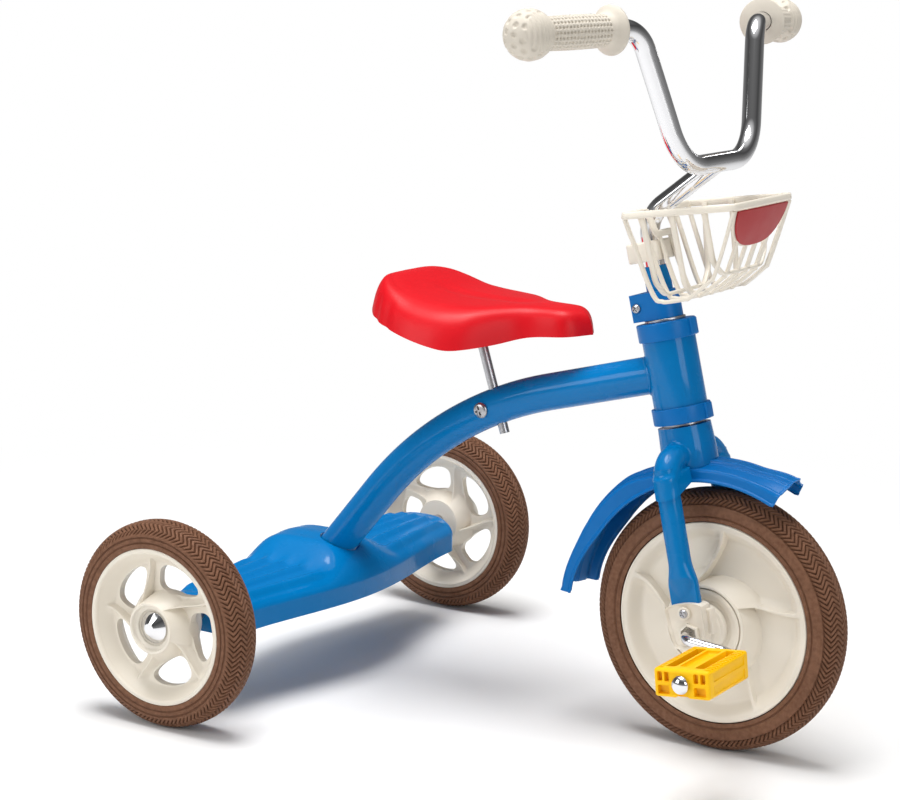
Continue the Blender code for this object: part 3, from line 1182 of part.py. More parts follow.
def basket_side_strips(net, bm, way, edge):
    """Quads of one side: the rim's strip and the cross bars that come up to it."""
    last = len(BASKET_ROWS) - 1
    strips = []
    rim = [(net[0, edge], net[1, edge])]
    for hoop in sorted(BASKET_HOOPS):
        foot = net[hoop, edge], net[hoop + 1, edge]
        for reach, width, height in basket_side(hoop):
            rim.append((bm.verts.new((reach, way * width, height)),
                        bm.verts.new((reach, way * width, height - BASKET_RIM_HEIGHT))))
        low = rim[-2][1], rim[-1][1]
        knee = []
        for a, b in zip(low, foot):
            place = a.co.lerp(b.co, BASKET_KNEE_SHARE)
            knee.append(bm.verts.new((place.x, (a.co.y + place.y) / 2, b.co.z + BASKET_KNEE_HEIGHT)))
        strips += [(low[0], low[1], knee[1], knee[0]), (knee[0], knee[1], foot[1], foot[0])]
    rim.append((net[last, edge], net[last - 1, edge]))
    strips += [(high0, high1, low1, low0) for (high0, low0), (high1, low1) in zip(rim, rim[1:])]
    return strips


def build_basket(steering):
    bm = bmesh.new()
    net = basket_net(bm)
    for way, edge in ((-1.0, 0), (1.0, len(basket_lines()) - 1)):
        for corners in basket_side_strips(net, bm, way, edge):
            bm.faces.new(corners if way > 0 else corners[::-1])
    basket = make_object("basket", bm, CREAM, parent=steering, closed=False)
    return thicken(basket, BASKET_SKIN)


def build_basket_clip(steering):
    """Block that grips the stem and carries the basket's back."""
    (top, high, _), (foot, low, _) = BASKET_ROWS[3:5]
    slope = (foot - top) / (high - low)
    upper, lower = (top + (high - height) * slope - GAP * 2 for height in (CLIP_TOP, CLIP_BOTTOM))
    outline = [(-CLIP_BACK, CLIP_BOTTOM), (lower, CLIP_BOTTOM), (upper, CLIP_TOP), (-CLIP_BACK, CLIP_TOP)]
    bm = bmesh.new()
    add_prism(bm, outline, -CLIP_HALF_WIDTH, CLIP_HALF_WIDTH, "y")
    clip = make_object("basket_clip", bm, CREAM, parent=steering)
    middle, reach = (CLIP_BOTTOM + CLIP_TOP) / 2, CLIP_TOP - CLIP_BOTTOM
    combine(clip, rod_cutter("clip_bore", (0, 0, middle), (0, 0, 1), BAR_RADIUS + GAP, reach, 16, steering))


def build_basket_panel(steering):
    """Shield that lies on the front bars under the rim."""
    foot, head = (Vector((reach, 0, height)) for reach, height, _ in BASKET_ROWS[12:14])
    up = (head - foot).normalized()
    out = Vector((up.z, 0, -up.x))
    height = (head - foot).length
    half = [(PANEL_HALF_WIDTH * math.cos(a) ** 0.7, -height * math.sin(a) ** 1.1)
            for a in (math.pi * i / 12 for i in range(6))]
    outline = half + [(0.0, -height)] + [(-u, v) for u, v in half[::-1]]
    bm = bmesh.new()
    add_loft(bm, [[head + out * lift + up * v + Vector((0, u, 0)) for u, v in outline]
                  for lift in (GAP * 2, GAP * 2 + PANEL_THICKNESS)])
    make_object("basket_panel", bm, RED, parent=steering)


# Saddle, one moulded shell whose rings run out from a spine to the skirt

def smooth_line(points, per_span):
    """Points of a smooth line through the stations, as many in every span."""
    stations = [Vector(p) for p in points]
    ends = [stations[0] * 2 - stations[1]] + stations + [stations[-1] * 2 - stations[-2]]
    line = []
    for a, b, c, d in zip(ends, ends[1:], ends[2:], ends[3:]):
        for i in range(per_span):
            t = i / per_span
            square, cube = 2 * a - 5 * b + 4 * c - d, 3 * b - a - 3 * c + d
            line.append((2 * b + (c - a) * t + square * t ** 2 + cube * t ** 3) / 2)
    return line + [stations[-1]]


def straight(value, stations):
    """Value between (position, amount) stations joined by straight lines."""
    for (x0, y0), (x1, y1) in zip(stations, stations[1:]):
        if value <= x1:
            return y0 + (y1 - y0) * (value - x0) / (x1 - x0)
    return stations[-1][1]


def saddle_top(x):
    return straight(x, SADDLE_TOP)


def saddle_rings():
    """Rings of the skin from near the spine out to the skirt's lower edge."""
    half = smooth_line(SADDLE_OUTLINE, 2)
    outline = half + [Vector((p.x, -p.y)) for p in half[-2:0:-1]]
    spine = [Vector((min(max(p.x, SADDLE_SPINE[0]), SADDLE_SPINE[1]), 0.0)) for p in outline]
    rings = []
    for share, drop in SADDLE_DROPS:
        ring = []
        for edge, centre in zip(outline, spine):
            place = centre.lerp(edge, share)
            top = saddle_top(place.x)
            ring.append(Vector((place.x, place.y, top - drop * (top - straight(edge.x, SADDLE_SKIRT)))))
        rings.append(ring)
    return rings, spine


def build_saddle():
    rings, spine = saddle_rings()
    bm = bmesh.new()
    crest = {}
    for place in spine:
        if place.x not in crest:
            crest[place.x] = bm.verts.new((place.x, 0.0, saddle_top(place.x)))
    loops = [[crest[place.x] for place in spine]] + [[bm.verts.new(p) for p in ring] for ring in rings]
    count = len(spine)
    for inner, outer in zip(loops, loops[1:]):
        for i in range(count):
            corners = [inner[i], outer[i], outer[(i + 1) % count], inner[(i + 1) % count]]
            bm.faces.new([v for n, v in enumerate(corners) if v not in corners[:n]][::-1])
    saddle = make_object("saddle", bm, RED, location=(REAR_AXLE.x, 0, 0), closed=False)
    thicken(saddle, SADDLE_WALL)
    bosses, pilots = bmesh.new(), bmesh.new()
    for place in saddle_boss_places().values():
        x, y = place[0] - REAR_AXLE.x, place[1]
        top = saddle_top(x) - SADDLE_WALL * 0.6
        end = BRACKET_TOP + SADDLE_SCREW_REACH + GAP
        add_lathe(bosses, disc(SADDLE_BOSS_RADIUS, BRACKET_TOP + GAP, top), 10, 0.0, (x, y))
        add_lathe(pilots, disc(SADDLE_SCREW_RADIUS + GAP, BRACKET_TOP, end), 8, 0.0, (x, y))
    combine(saddle, make_object("saddle_bosses", bosses, None, location=saddle.location), "UNION")
    combine(saddle, make_object("saddle_pilot_holes", pilots, None, location=saddle.location))
    return saddle


def saddle_boss_places():
    """The two screws into the saddle stand in front of the post and behind it."""
    centre = post_top().x
    return {"front": (centre + BRACKET_SCREW_PITCH, 0.0), "rear": (centre - BRACKET_SCREW_PITCH, 0.0)}


def post_top():
    """Where the seat post ends, just under the bracket's plate."""
    foot, lean = post_frame()
    rise = (BRACKET_TOP - BRACKET_PLATE - GAP * 2 - foot.z) / lean.z
    return foot + lean * (rise - POST_RADIUS * math.tan(POST_LEAN))


def build_seat_post():
    """Post, the bracket welded to its top and the screws into the saddle's bosses."""
    foot, lean = post_frame()
    top = post_top()
    tube("seat_post", [foot, foot + lean * SEAT_POST_CHAMFER, top], POST_RADIUS, CHROME, 16)
    middle = Vector((top.x, 0, BRACKET_TOP - BRACKET_PLATE / 2))
    bm = bmesh.new()
    outline = rounded_outline(BRACKET_SCREW_PITCH + SADDLE_BOSS_RADIUS, BRACKET_HALF_WIDTH, SADDLE_BOSS_RADIUS, 3)
    add_prism(bm, outline, -BRACKET_PLATE / 2, BRACKET_PLATE / 2)
    bracket = make_object("saddle_bracket", bm, ZINC, location=middle)
    middle = top - lean * (BRACKET_SOCKET - BRACKET_PLATE) / 2
    half = (BRACKET_SOCKET + BRACKET_PLATE) / 2 - GAP
    socket = rod_cutter("bracket_socket", middle, lean, POST_RADIUS + BRACKET_PLATE, half, 16)
    combine(bracket, socket, "UNION")
    low, fit = top - lean * (BRACKET_SOCKET - GAP), POST_RADIUS + GAP
    combine(bracket, rod_cutter("bracket_bore", low, lean, fit, BRACKET_SOCKET, 16))
    seat, end = BRACKET_TOP - BRACKET_PLATE - GAP, BRACKET_TOP + SADDLE_SCREW_REACH
    screw = [(0.0, seat - SADDLE_SCREW_HEAD), (SADDLE_SCREW_RADIUS * 2, seat - SADDLE_SCREW_HEAD),
             (SADDLE_SCREW_RADIUS * 2, seat), (SADDLE_SCREW_RADIUS, seat), (SADDLE_SCREW_RADIUS, end), (0.0, end)]
    holes = bmesh.new()
    for name, place in saddle_boss_places().items():
        add_lathe(holes, disc(SADDLE_SCREW_RADIUS + GAP, seat, BRACKET_TOP + GAP), 8, 0.0, place)
        lathe(f"saddle_screw_{name}", screw, ZINC, 8, location=(*place, 0))
    combine(bracket, make_object("bracket_holes", holes, None))


def main():
    clear_scene()
    build_backbone()
    build_clamp_bolt()
    build_head()
    build_platform()
    build_rear_axle()
    for side, sign in SIDES.items():
        build_rear_wheel(side, sign)
    build_saddle()
    build_seat_post()
    steering = make_empty("steering_axis", STEER_BASE, (0, -RAKE, 0))
    build_steerer(steering)
    build_collar(steering)
    build_crown(steering, build_fender(steering))
    for side, sign in SIDES.items():
        build_leg(side, sign, steering)
        build_block(side, sign, steering)
        build_grip(side, sign, steering)
    build_handlebar(steering)
    build_basket(steering)
    build_basket_clip(steering)
    build_basket_panel(steering)
    axle = build_front_wheel(steering)
    build_crank(axle)
    build_pedal_caps(axle)
    for side, sign in SIDES.items():
        build_pedal(side, sign, axle)


main()
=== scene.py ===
"""Looks of a child's tricycle, piece by piece in the order it is put together.

Units are metres. +X is forward, +Y is the rider's left, +Z is up. Each section holds one piece
or a group of like pieces: its sizes, its shape, its finish and the body that it moves with.
"""
import math

import bpy
from mathutils import Matrix, Vector


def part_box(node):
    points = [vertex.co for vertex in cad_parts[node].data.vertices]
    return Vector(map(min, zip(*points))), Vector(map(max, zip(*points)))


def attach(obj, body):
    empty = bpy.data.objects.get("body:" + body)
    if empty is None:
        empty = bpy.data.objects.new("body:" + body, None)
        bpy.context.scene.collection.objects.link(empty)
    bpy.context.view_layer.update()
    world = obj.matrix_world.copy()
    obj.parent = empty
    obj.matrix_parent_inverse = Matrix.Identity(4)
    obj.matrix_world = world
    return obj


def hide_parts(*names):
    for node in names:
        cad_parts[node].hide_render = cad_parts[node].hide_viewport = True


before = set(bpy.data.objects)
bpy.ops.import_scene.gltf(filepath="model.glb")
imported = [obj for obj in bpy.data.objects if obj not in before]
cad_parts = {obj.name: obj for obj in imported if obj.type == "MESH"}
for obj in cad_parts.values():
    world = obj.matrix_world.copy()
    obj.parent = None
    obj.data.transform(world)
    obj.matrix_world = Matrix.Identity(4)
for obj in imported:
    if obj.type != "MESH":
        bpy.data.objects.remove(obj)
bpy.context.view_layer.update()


# Studio. A pale floor that runs on without an edge, a soft overhead panel and two side panels.
# The camera stands at the front right, slightly above the saddle, and is turned by a hair.

AZIMUTH, ELEVATION, ROLL = math.radians(32.56), math.radians(11.45), math.radians(0.89)
across = Vector((math.cos(AZIMUTH), math.sin(AZIMUTH), 0.0))
towards = Vector((math.sin(AZIMUTH) * math.cos(ELEVATION), -math.cos(AZIMUTH) * math.cos(ELEVATION),
                  math.sin(ELEVATION)))
upright = towards.cross(across)
right_edge = across * math.cos(ROLL) + upright * math.sin(ROLL)
top_edge = upright * math.cos(ROLL) - across * math.sin(ROLL)

bpy.ops.object.select_all(action="DESELECT")
bpy.ops.object.camera_add(location=(1.0362, -1.7451, 0.6916))
camera = bpy.context.object
camera.name = "studio_camera"
turned_to = Matrix((right_edge, top_edge, towards)).transposed()
camera.rotation_euler = turned_to.to_euler()
camera.data.lens = 93.01
camera.data.sensor_width = 36.0
bpy.context.scene.camera = camera
bpy.context.scene.view_settings.view_transform = "Standard"

bpy.ops.mesh.primitive_circle_add(vertices=96, radius=9.0, fill_type="NGON")
floor = bpy.context.object
floor.name = "studio_floor"

for name, spot, aim, width, power in (("panel_over", (-0.15, -0.22, 3.20), (0.0, 0.0, 0.0), 1.75, 102.0),
                                      ("panel_key", (-1.10, -2.10, 1.30), (0.0, 0.0, 0.25), 1.30, 22.0),
                                      ("panel_fill", (2.30, -0.90, 1.10), (0.1, 0.0, 0.3), 1.10, 13.0)):
    way = Vector(aim) - Vector(spot)
    bpy.ops.object.light_add(type="AREA", location=spot, rotation=way.to_track_quat("-Z", "Y").to_euler())
    panel = bpy.context.object
    panel.name = name
    panel.data.shape = "SQUARE"
    panel.data.size = width
    panel.data.energy = power


class Reading:
    """A number that varies over a surface; arithmetic on it adds the Math nodes that work it out."""

    def __init__(self, tree, socket):
        self.tree = tree
        self.socket = socket

    def worked(self, operation, *values):
        node = self.tree.nodes.new("ShaderNodeMath")
        node.operation = operation
        for slot, value in zip(node.inputs, values):
            if isinstance(value, Reading):
                self.tree.links.new(value.socket, slot)
            else:
                slot.default_value = value
        return Reading(self.tree, node.outputs[0])

    def __add__(self, other):
        return self.worked("ADD", self, other)

    __radd__ = __add__

    def __sub__(self, other):
        return self.worked("SUBTRACT", self, other)

    def __rsub__(self, other):
        return self.worked("SUBTRACT", other, self)

    def __mul__(self, other):
        return self.worked("MULTIPLY", self, other)

    __rmul__ = __mul__

    def __truediv__(self, other):
        return self.worked("DIVIDE", self, other)

    def __pow__(self, other):
        return self.worked("POWER", self, other)

    def clipped(self, low, high):
        return self.worked("MINIMUM", self.worked("MAXIMUM", self, low), high)


class Finish:
    """One material: a Principled shader with its plain values, and the nodes that vary it.

    The slot is the material's name in the frame, where it isn't the finish's own.
    """

    def __init__(self, name, colour, slot=None, **plain):
        self.slot = slot or name
        self.material = bpy.data.materials.new(name)
        self.material.use_nodes = True
        self.tree = self.material.node_tree
        self.shader = self.tree.nodes["Principled BSDF"]
        self.colour = (*colour, 1.0)
        self.shader.inputs["Base Color"].default_value = self.colour
        for socket, value in plain.items():
            self.shader.inputs[socket.replace("_", " ")].default_value = value
        self.here = self.node("ShaderNodeTexCoord", {}, {}, "Object")

    def node(self, kind, settings, inputs, output=0):
        node = self.tree.nodes.new(kind)
        for key, value in settings.items():
            setattr(node, key, value)
        for socket, value in inputs.items():
            if isinstance(value, Reading):
                self.tree.links.new(value.socket, node.inputs[socket])
            else:
                node.inputs[socket].default_value = value
        return Reading(self.tree, node.outputs[output])

    def noise(self, scale, detail):
        settings = {"Vector": self.here, "Scale": scale, "Detail": detail}
        return self.node("ShaderNodeTexNoise", {}, settings, "Fac")

    def tint(self, amount, other):
        """Mix the base colour towards another one by a varying amount."""
        colours = {0: amount, 6: self.colour, 7: (*other, 1.0)}
        mixed = self.node("ShaderNodeMix", {"data_type": "RGBA"}, colours, 2)
        self.tree.links.new(mixed.socket, self.shader.inputs["Base Color"])

    def vary(self, socket, value):
        self.tree.links.new(value.socket, self.shader.inputs[socket])

    def bump(self, height, distance, strength):
        settings = {"Height": height, "Distance": distance, "Strength": strength}
        normal = self.node("ShaderNodeBump", {}, settings, "Normal")
        self.tree.links.new(normal.socket, self.shader.inputs["Normal"])


def mottled(name, colour, other, patches, gloss, grain, **plain):
    """A finish with patches of another colour, an uneven gloss and a fine grain.

    Each begins with the scale and detail of its noise. For the patches there follow the noise's
    two limits and the other colour's share, for the gloss the least roughness and what the noise
    adds to it, and for the grain its height and strength.
    """
    finish = Finish(name, colour, **plain)
    scale, detail, low, high, share = patches
    finish.tint(finish.noise(scale, detail).clipped(low, high) * share, other)
    scale, detail, least, more = gloss
    finish.vary("Roughness", least + more * finish.noise(scale, detail))
    scale, detail, height, strength = grain
    finish.bump(finish.noise(scale, detail), height, strength)
    return finish


# The floor takes light and shadow near the tricycle and fades to plain white for the camera.
LIT_RADIUS, FADE_WIDTH = 0.45, 0.75
pale = Finish("studio_pale", (0.84, 0.84, 0.84), Roughness=0.85, Specular_IOR_Level=0.0)
spread = pale.node("ShaderNodeVectorMath", {"operation": "LENGTH"}, {0: pale.here}, "Value")
faded = ((spread - LIT_RADIUS) / FADE_WIDTH).clipped(0.0, 1.0)
faded = faded * faded * (3.0 - 2.0 * faded)
camera_ray = pale.node("ShaderNodeLightPath", {}, {}, "Is Camera Ray")
glow = pale.node("ShaderNodeEmission", {}, {"Color": (1.0, 1.0, 1.0, 1.0), "Strength": 1.0}, "Emission")
blend = pale.node("ShaderNodeMixShader", {}, {0: faded * camera_ray, 2: glow}, "Shader")
pale.tree.links.new(pale.shader.outputs[0], blend.socket.node.inputs[1])
pale.tree.links.new(blend.socket, pale.tree.nodes["Material Output"].inputs["Surface"])
floor.data.materials.append(pale.material)

world = bpy.data.worlds.new("studio_light")
bpy.context.scene.world = world
world.use_nodes = True
sky = world.node_tree
backdrop = sky.nodes["Background"]
rays = sky.nodes.new("ShaderNodeLightPath")
looking = sky.nodes.new("ShaderNodeTexCoord")
split = sky.nodes.new("ShaderNodeSeparateXYZ")
levels = sky.nodes.new("ShaderNodeValToRGB")
pick = sky.nodes.new("ShaderNodeMix")
sky.links.new(looking.outputs["Generated"], split.inputs["Vector"])
sky.links.new(split.outputs["Z"], levels.inputs["Fac"])
for at, level in ((0.0, 0.30), (0.12, 0.07), (0.45, 0.07), (0.70, 0.16), (1.0, 0.20)):
    stop = levels.color_ramp.elements.new(at) if at not in (0.0, 1.0) else levels.color_ramp.elements[int(at)]
    stop.color = (level, level, level, 1.0)
pick.data_type = "RGBA"
sky.links.new(rays.outputs["Is Camera Ray"], pick.inputs[0])
sky.links.new(levels.outputs["Color"], pick.inputs[6])
pick.inputs[7].default_value = (1.0, 1.0, 1.0, 1.0)
sky.links.new(pick.outputs[2], backdrop.inputs["Color"])
backdrop.inputs["Strength"].default_value = 1.0

# Backbone. A round steel tube, bent once, welded to the head tube in front and sprayed blue.
# Its foot goes down through the platform to the axle tube, and the seat post passes through it.

SELECT_ALL = (bpy.ops.mesh.select_all, {"action": "SELECT"})
SELECT_NONE = (bpy.ops.mesh.select_all, {"action": "DESELECT"})
TOUCHING = 0.00001
MERGE = (bpy.ops.mesh.remove_doubles, {"threshold": 0.000001})
CLOSE_ENDS = (bpy.ops.mesh.fill_holes, {"sides": 0})
FACE_OUT = (bpy.ops.mesh.normals_make_consistent, {"inside": False})


def only(piece):
    """Select one piece alone."""
    bpy.ops.object.select_all(action="DESELECT")
    bpy.context.view_layer.objects.active = piece
    piece.select_set(True)


def fresh(primitive, name, **settings):
    """Add a primitive with nothing else selected, and name it."""
    bpy.ops.object.select_all(action="DESELECT")
    primitive(**settings)
    piece = bpy.context.object
    piece.name = name
    return piece


def in_edit(piece, *steps):
    """Run edit-mode steps on a piece, all of it selected."""
    only(piece)
    bpy.ops.object.mode_set(mode="EDIT")
    bpy.ops.mesh.select_all(action="SELECT")
    for step, settings in steps:
        step(**settings)
    bpy.ops.object.mode_set(mode="OBJECT")
    return piece


def modify(piece, kind, **settings):
    """Add a modifier and apply it."""
    modifier = piece.modifiers.new(kind.lower(), kind)
    for key, value in settings.items():
        setattr(modifier, key, value)
    only(piece)
    bpy.ops.object.modifier_apply(modifier=modifier.name)
    return piece


def cut(piece, tool, operation="DIFFERENCE"):
    modify(piece, "BOOLEAN", operation=operation, object=tool, solver="EXACT")
    bpy.data.objects.remove(tool)
    return piece


def rod(name, start, end, radius, around=48):
    """A round rod between two points."""
    start, end = Vector(start), Vector(end)
    turn = (end - start).to_track_quat("Z", "Y").to_euler()
    return fresh(bpy.ops.mesh.primitive_cylinder_add, name, vertices=around, radius=radius,
                 depth=(end - start).length, location=(start + end) / 2, rotation=turn)


def put(piece, matrix):
    """Stand a piece drawn at the origin in its place, with the place in its mesh."""
    piece.matrix_world = matrix @ piece.matrix_world
    only(piece)
    bpy.ops.object.transform_apply(location=True, rotation=True, scale=True)
    return piece


def settle(piece, finish, body, *nodes, angle=32.0, matrix=Matrix.Identity(4)):
    """Last steps of each piece: place, shading, finish, body, and the solids that it stands for."""
    put(piece, matrix)
    bpy.ops.object.shade_smooth_by_angle(angle=math.radians(angle))
    piece.data.materials.clear()
    piece.data.materials.append(finish.material)
    if nodes:
        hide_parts(*nodes)
    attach(piece, body)
    return piece


def bent_line(corners, bend, steps=24):
    """A line through the corners, with each inner corner bent to its radius, or all to one."""
    line = [Vector(corners[0])]
    for i, (before, corner, after) in enumerate(zip(corners, corners[1:], corners[2:])):
        radius = bend[i] if isinstance(bend, list) else bend
        corner = Vector(corner)
        back, ahead = (Vector(before) - corner).normalized(), (Vector(after) - corner).normalized()
        half = back.angle(ahead) / 2
        middle = corner + (back + ahead).normalized() * radius / math.sin(half)
        arm = corner + back * radius / math.tan(half) - middle
        axis = arm.cross(corner + ahead * radius / math.tan(half) - middle).normalized()
        swing = math.pi - 2 * half
        line += [middle + Matrix.Rotation(swing * k / steps, 3, axis) @ arm for k in range(steps + 1)]
    return line + [Vector(corners[-1])]


def pipe(name, line, radius, sides):
    """A round bar drawn as a curve and turned to a mesh."""
    bar = fresh(bpy.ops.curve.primitive_bezier_curve_add, name)
    curve = bar.data
    curve.splines.clear()
    course = curve.splines.new("POLY")
    course.points.add(len(line) - 1)
    for station, point in zip(course.points, line):
        station.co = (*point, 1.0)
    curve.dimensions = "3D"
    curve.twist_mode = "MINIMUM"
    curve.bevel_depth = radius
    curve.bevel_resolution = sides
    curve.use_fill_caps = True
    bpy.ops.object.convert(target="MESH")
    piece = bpy.context.object
    piece.name = name
    return in_edit(piece, MERGE, FACE_OUT)


RAKE = math.radians(13.68)
REAR_AXLE = Vector((-0.2234, 0.0, 0.0924))
FRONT_AXLE = Vector((0.2008, 0.0, 0.1150))
STEER_BASE = FRONT_AXLE - Vector((math.cos(RAKE), 0.0, math.sin(RAKE))) * 0.0010
STEER = Matrix.Translation(STEER_BASE) @ Matrix.Rotation(-RAKE, 4, "Y")
HEAD_RADIUS, HEAD_WALL = 0.0230, 0.0015
BACKBONE_RADIUS, BACKBONE_BEND = 0.0165, 0.350
CROSS_TUBE_RADIUS, POST_HOLE_RADIUS, WELD_RADIUS = 0.0108, 0.0052, 0.0020
POST_LEAN = math.radians(18)
post_foot, post_way = Vector((-0.0192, 0, 0.2493)), Vector((-math.sin(POST_LEAN), 0, math.cos(POST_LEAN)))

paint = mottled("blue_paint", (0.000, 0.170, 0.455), (0.000, 0.135, 0.380), (6.0, 3.0, 0.35, 0.65, 0.35),
                (28.0, 4.0, 0.22, 0.10), (160.0, 1.0, 0.00010, 0.10),
                Roughness=0.40, Coat_Weight=0.34, Coat_Roughness=0.07, Specular_IOR_Level=0.06)

backbone_line = bent_line([STEER @ Vector((0, 0, 0.2165)), (-0.0820, 0, 0.26333), REAR_AXLE], BACKBONE_BEND, 40)
backbone = pipe("backbone", backbone_line, BACKBONE_RADIUS, 14)
cut(backbone, rod("cope", STEER @ Vector((0, 0, 0.15)), STEER @ Vector((0, 0, 0.28)), HEAD_RADIUS - HEAD_WALL))
cut(backbone, rod("cope", REAR_AXLE - Vector((0, 0.04, 0)), REAR_AXLE + Vector((0, 0.04, 0)), CROSS_TUBE_RADIUS))
cut(backbone, rod("post_hole", post_foot - post_way * 0.03, post_foot + post_way * 0.06, POST_HOLE_RADIUS))
settle(backbone, paint, "frame", "backbone_tube")

# The weld where the backbone meets the head tube: a bead along the line in which they cross.
head_way = (STEER @ Vector((0, 0, 1.0)) - STEER @ Vector((0, 0, 0))).normalized()
tube_way = (backbone_line[0] - backbone_line[1]).normalized()
tube_up = tube_way.cross(Vector((0, 1, 0)))
bead = []
for i in range(61):
    angle = math.tau * i / 60
    start = backbone_line[0] + (Vector((0, 1, 0)) * math.cos(angle) + tube_up * math.sin(angle)) * BACKBONE_RADIUS
    flat_start = start - STEER_BASE - head_way * (start - STEER_BASE).dot(head_way)
    flat_way = tube_way - head_way * tube_way.dot(head_way)
    a, b, c = flat_way.dot(flat_way), flat_start.dot(flat_way), flat_start.dot(flat_start) - HEAD_RADIUS ** 2
    bead.append(start + tube_way * ((-b - math.sqrt(b * b - a * c)) / a))
weld = pipe("head_weld", bead, WELD_RADIUS, 3)
settle(weld, paint, "frame")


# Head tube and its two cups. The tube is painted steel; the cups are moulded in blue plastic,
# push over its ends, and each has a small raised tab in front.

def eased(outline, steps=4):
    """A turned piece's outline of (radius, height, fillet) with its corners rounded off."""
    points = [Vector((r, h)) for r, h, _ in outline]
    line = []
    for i, (corner, (_, _, fillet)) in enumerate(zip(points, outline)):
        before, after = points[i - 1], points[(i + 1) % len(points)]
        back, ahead = before - corner, after - corner
        if fillet <= 0 or corner.x < TOUCHING:
            line.append(corner)
            continue
        fillet = min(fillet, back.length * 0.45, ahead.length * 0.45)
        start, end = corner + back.normalized() * fillet, corner + ahead.normalized() * fillet
        for k in range(steps + 1):
            t = k / steps
            line.append(start * (1 - t) ** 2 + corner * 2 * t * (1 - t) + end * t * t)
    return line


def turned(name, outline, around=72, matrix=Matrix.Identity(4)):
    """A piece turned on a lathe: its closed outline is spun round the Z axis."""
    line = eased(outline)
    closed = outline[0][0] > TOUCHING or outline[-1][0] > TOUCHING
    count = len(line)
    piece = fresh(bpy.ops.mesh.primitive_circle_add, name, vertices=count, radius=0.01)
    for vertex, point in zip(piece.data.vertices, line):
        vertex.co = (point.x, 0.0, point.y)
    if not closed:
        in_edit(piece, (bpy.ops.mesh.select_mode, {"type": "EDGE"}), SELECT_NONE)
        for edge in piece.data.edges:
            edge.select = set(edge.vertices) == {0, count - 1}
        bpy.ops.object.mode_set(mode="EDIT")
        bpy.ops.mesh.delete(type="EDGE")
        bpy.ops.object.mode_set(mode="OBJECT")
    spin = {"steps": around, "angle": math.tau, "center": (0, 0, 0), "axis": (0, 0, 1)}
    in_edit(piece, (bpy.ops.mesh.spin, spin), SELECT_ALL, (bpy.ops.mesh.remove_doubles, {"threshold": 0.000002}),
            FACE_OUT)
    return put(piece, matrix)


def block(name, low, high, bevel=0.0, segments=3):
    """A box between two corners, its edges rounded where a bevel is given."""
    low, high = Vector(low), Vector(high)
    piece = fresh(bpy.ops.mesh.primitive_cube_add, name, size=1.0, location=(low + high) / 2, scale=high - low)
    put(piece, Matrix.Identity(4))
    return modify(piece, "BEVEL", width=bevel, segments=segments) if bevel else piece


blue_plastic = mottled("blue_plastic", (0.000, 0.145, 0.450), (0.000, 0.115, 0.370), (9.0, 3.0, 0.3, 0.7, 0.4),
                       (60.0, 3.0, 0.28, 0.12), (900.0, 2.0, 0.00008, 0.25), Roughness=0.33, Specular_IOR_Level=0.20)

head = turned("head_tube_skin", [(0.0190, 0.1765, 0.0003), (HEAD_RADIUS, 0.1765, 0.0005),
                                 (HEAD_RADIUS, 0.2555, 0.0005), (0.0190, 0.2555, 0.0003)])
settle(head, paint, "frame", "head_tube", matrix=STEER)

CUP_BORE, CUP_RADIUS, CUP_SEAT = 0.0118, 0.0255, 0.0232
for node, mouth, face in (("upper_cup", 0.2450, 0.2603), ("lower_cup", 0.1870, 0.1728)):
    floor_height = face - math.copysign(0.0040, face - mouth)
    outline = [(CUP_BORE, face, 0.0003), (CUP_RADIUS, face, 0.0014), (CUP_RADIUS, mouth, 0.0006),
               (CUP_SEAT, mouth, 0.0003), (CUP_SEAT, floor_height, 0), (CUP_BORE, floor_height, 0)]
    settle(turned(node + "_skin", outline), blue_plastic, "frame", node, matrix=STEER)
    low, high = sorted((mouth, face))
    tab = block(node + "_tab", (0.0239, -0.00575, low + 0.0005), (0.0269, 0.00575, high - 0.0005), 0.0009)
    settle(tab, blue_plastic, "frame", matrix=STEER)


# Rear platform. One sheet of steel pressed to a hump in the middle, with lengthwise ribs on each
# step, a folded edge and a skirt, open underneath; it is sprayed with the frame.

def sheet_of(name, rows):
    """A grid whose points are moved to the given rows."""
    piece = fresh(bpy.ops.mesh.primitive_grid_add, name, size=1.0,
                  x_subdivisions=len(rows[0]) - 1, y_subdivisions=len(rows) - 1)
    for vertex, point in zip(piece.data.vertices, (p for row in rows for p in row)):
        vertex.co = point
    return piece


def smooth(value, stations):
    """Smooth value between (position, amount) stations."""
    if value <= stations[0][0]:
        return stations[0][1]
    for (x0, y0), (x1, y1) in zip(stations, stations[1:]):
        if value <= x1:
            t = (value - x0) / (x1 - x0)
            return y0 + (y1 - y0) * t * t * (3 - 2 * t)
    return stations[-1][1]

def faced(piece, outward):
    """Turn an open sheet so that its faces look outward on the whole."""
    if sum(face.normal.dot(outward(face.center)) * face.area for face in piece.data.polygons) < 0:
        in_edit(piece, (bpy.ops.mesh.flip_normals, {}))
    return piece


def upward(_):
    return Vector((0, 0, 1))


PLATFORM_END, PLATFORM_SKIRT, PLATFORM_FOLD = 0.1850, 0.0750, 0.0915
PLATFORM_DECK, PLATFORM_HUMP, PLATFORM_RIB = 0.1070, 0.0195, 0.0042
PLATFORM_CORNER, PLATFORM_LIP, PLATFORM_SHEET = 0.0130, 0.0040, 0.0018
FOOT_HOLE_RADIUS, AXLE_HOLE_RADIUS = 0.0182, 0.0054


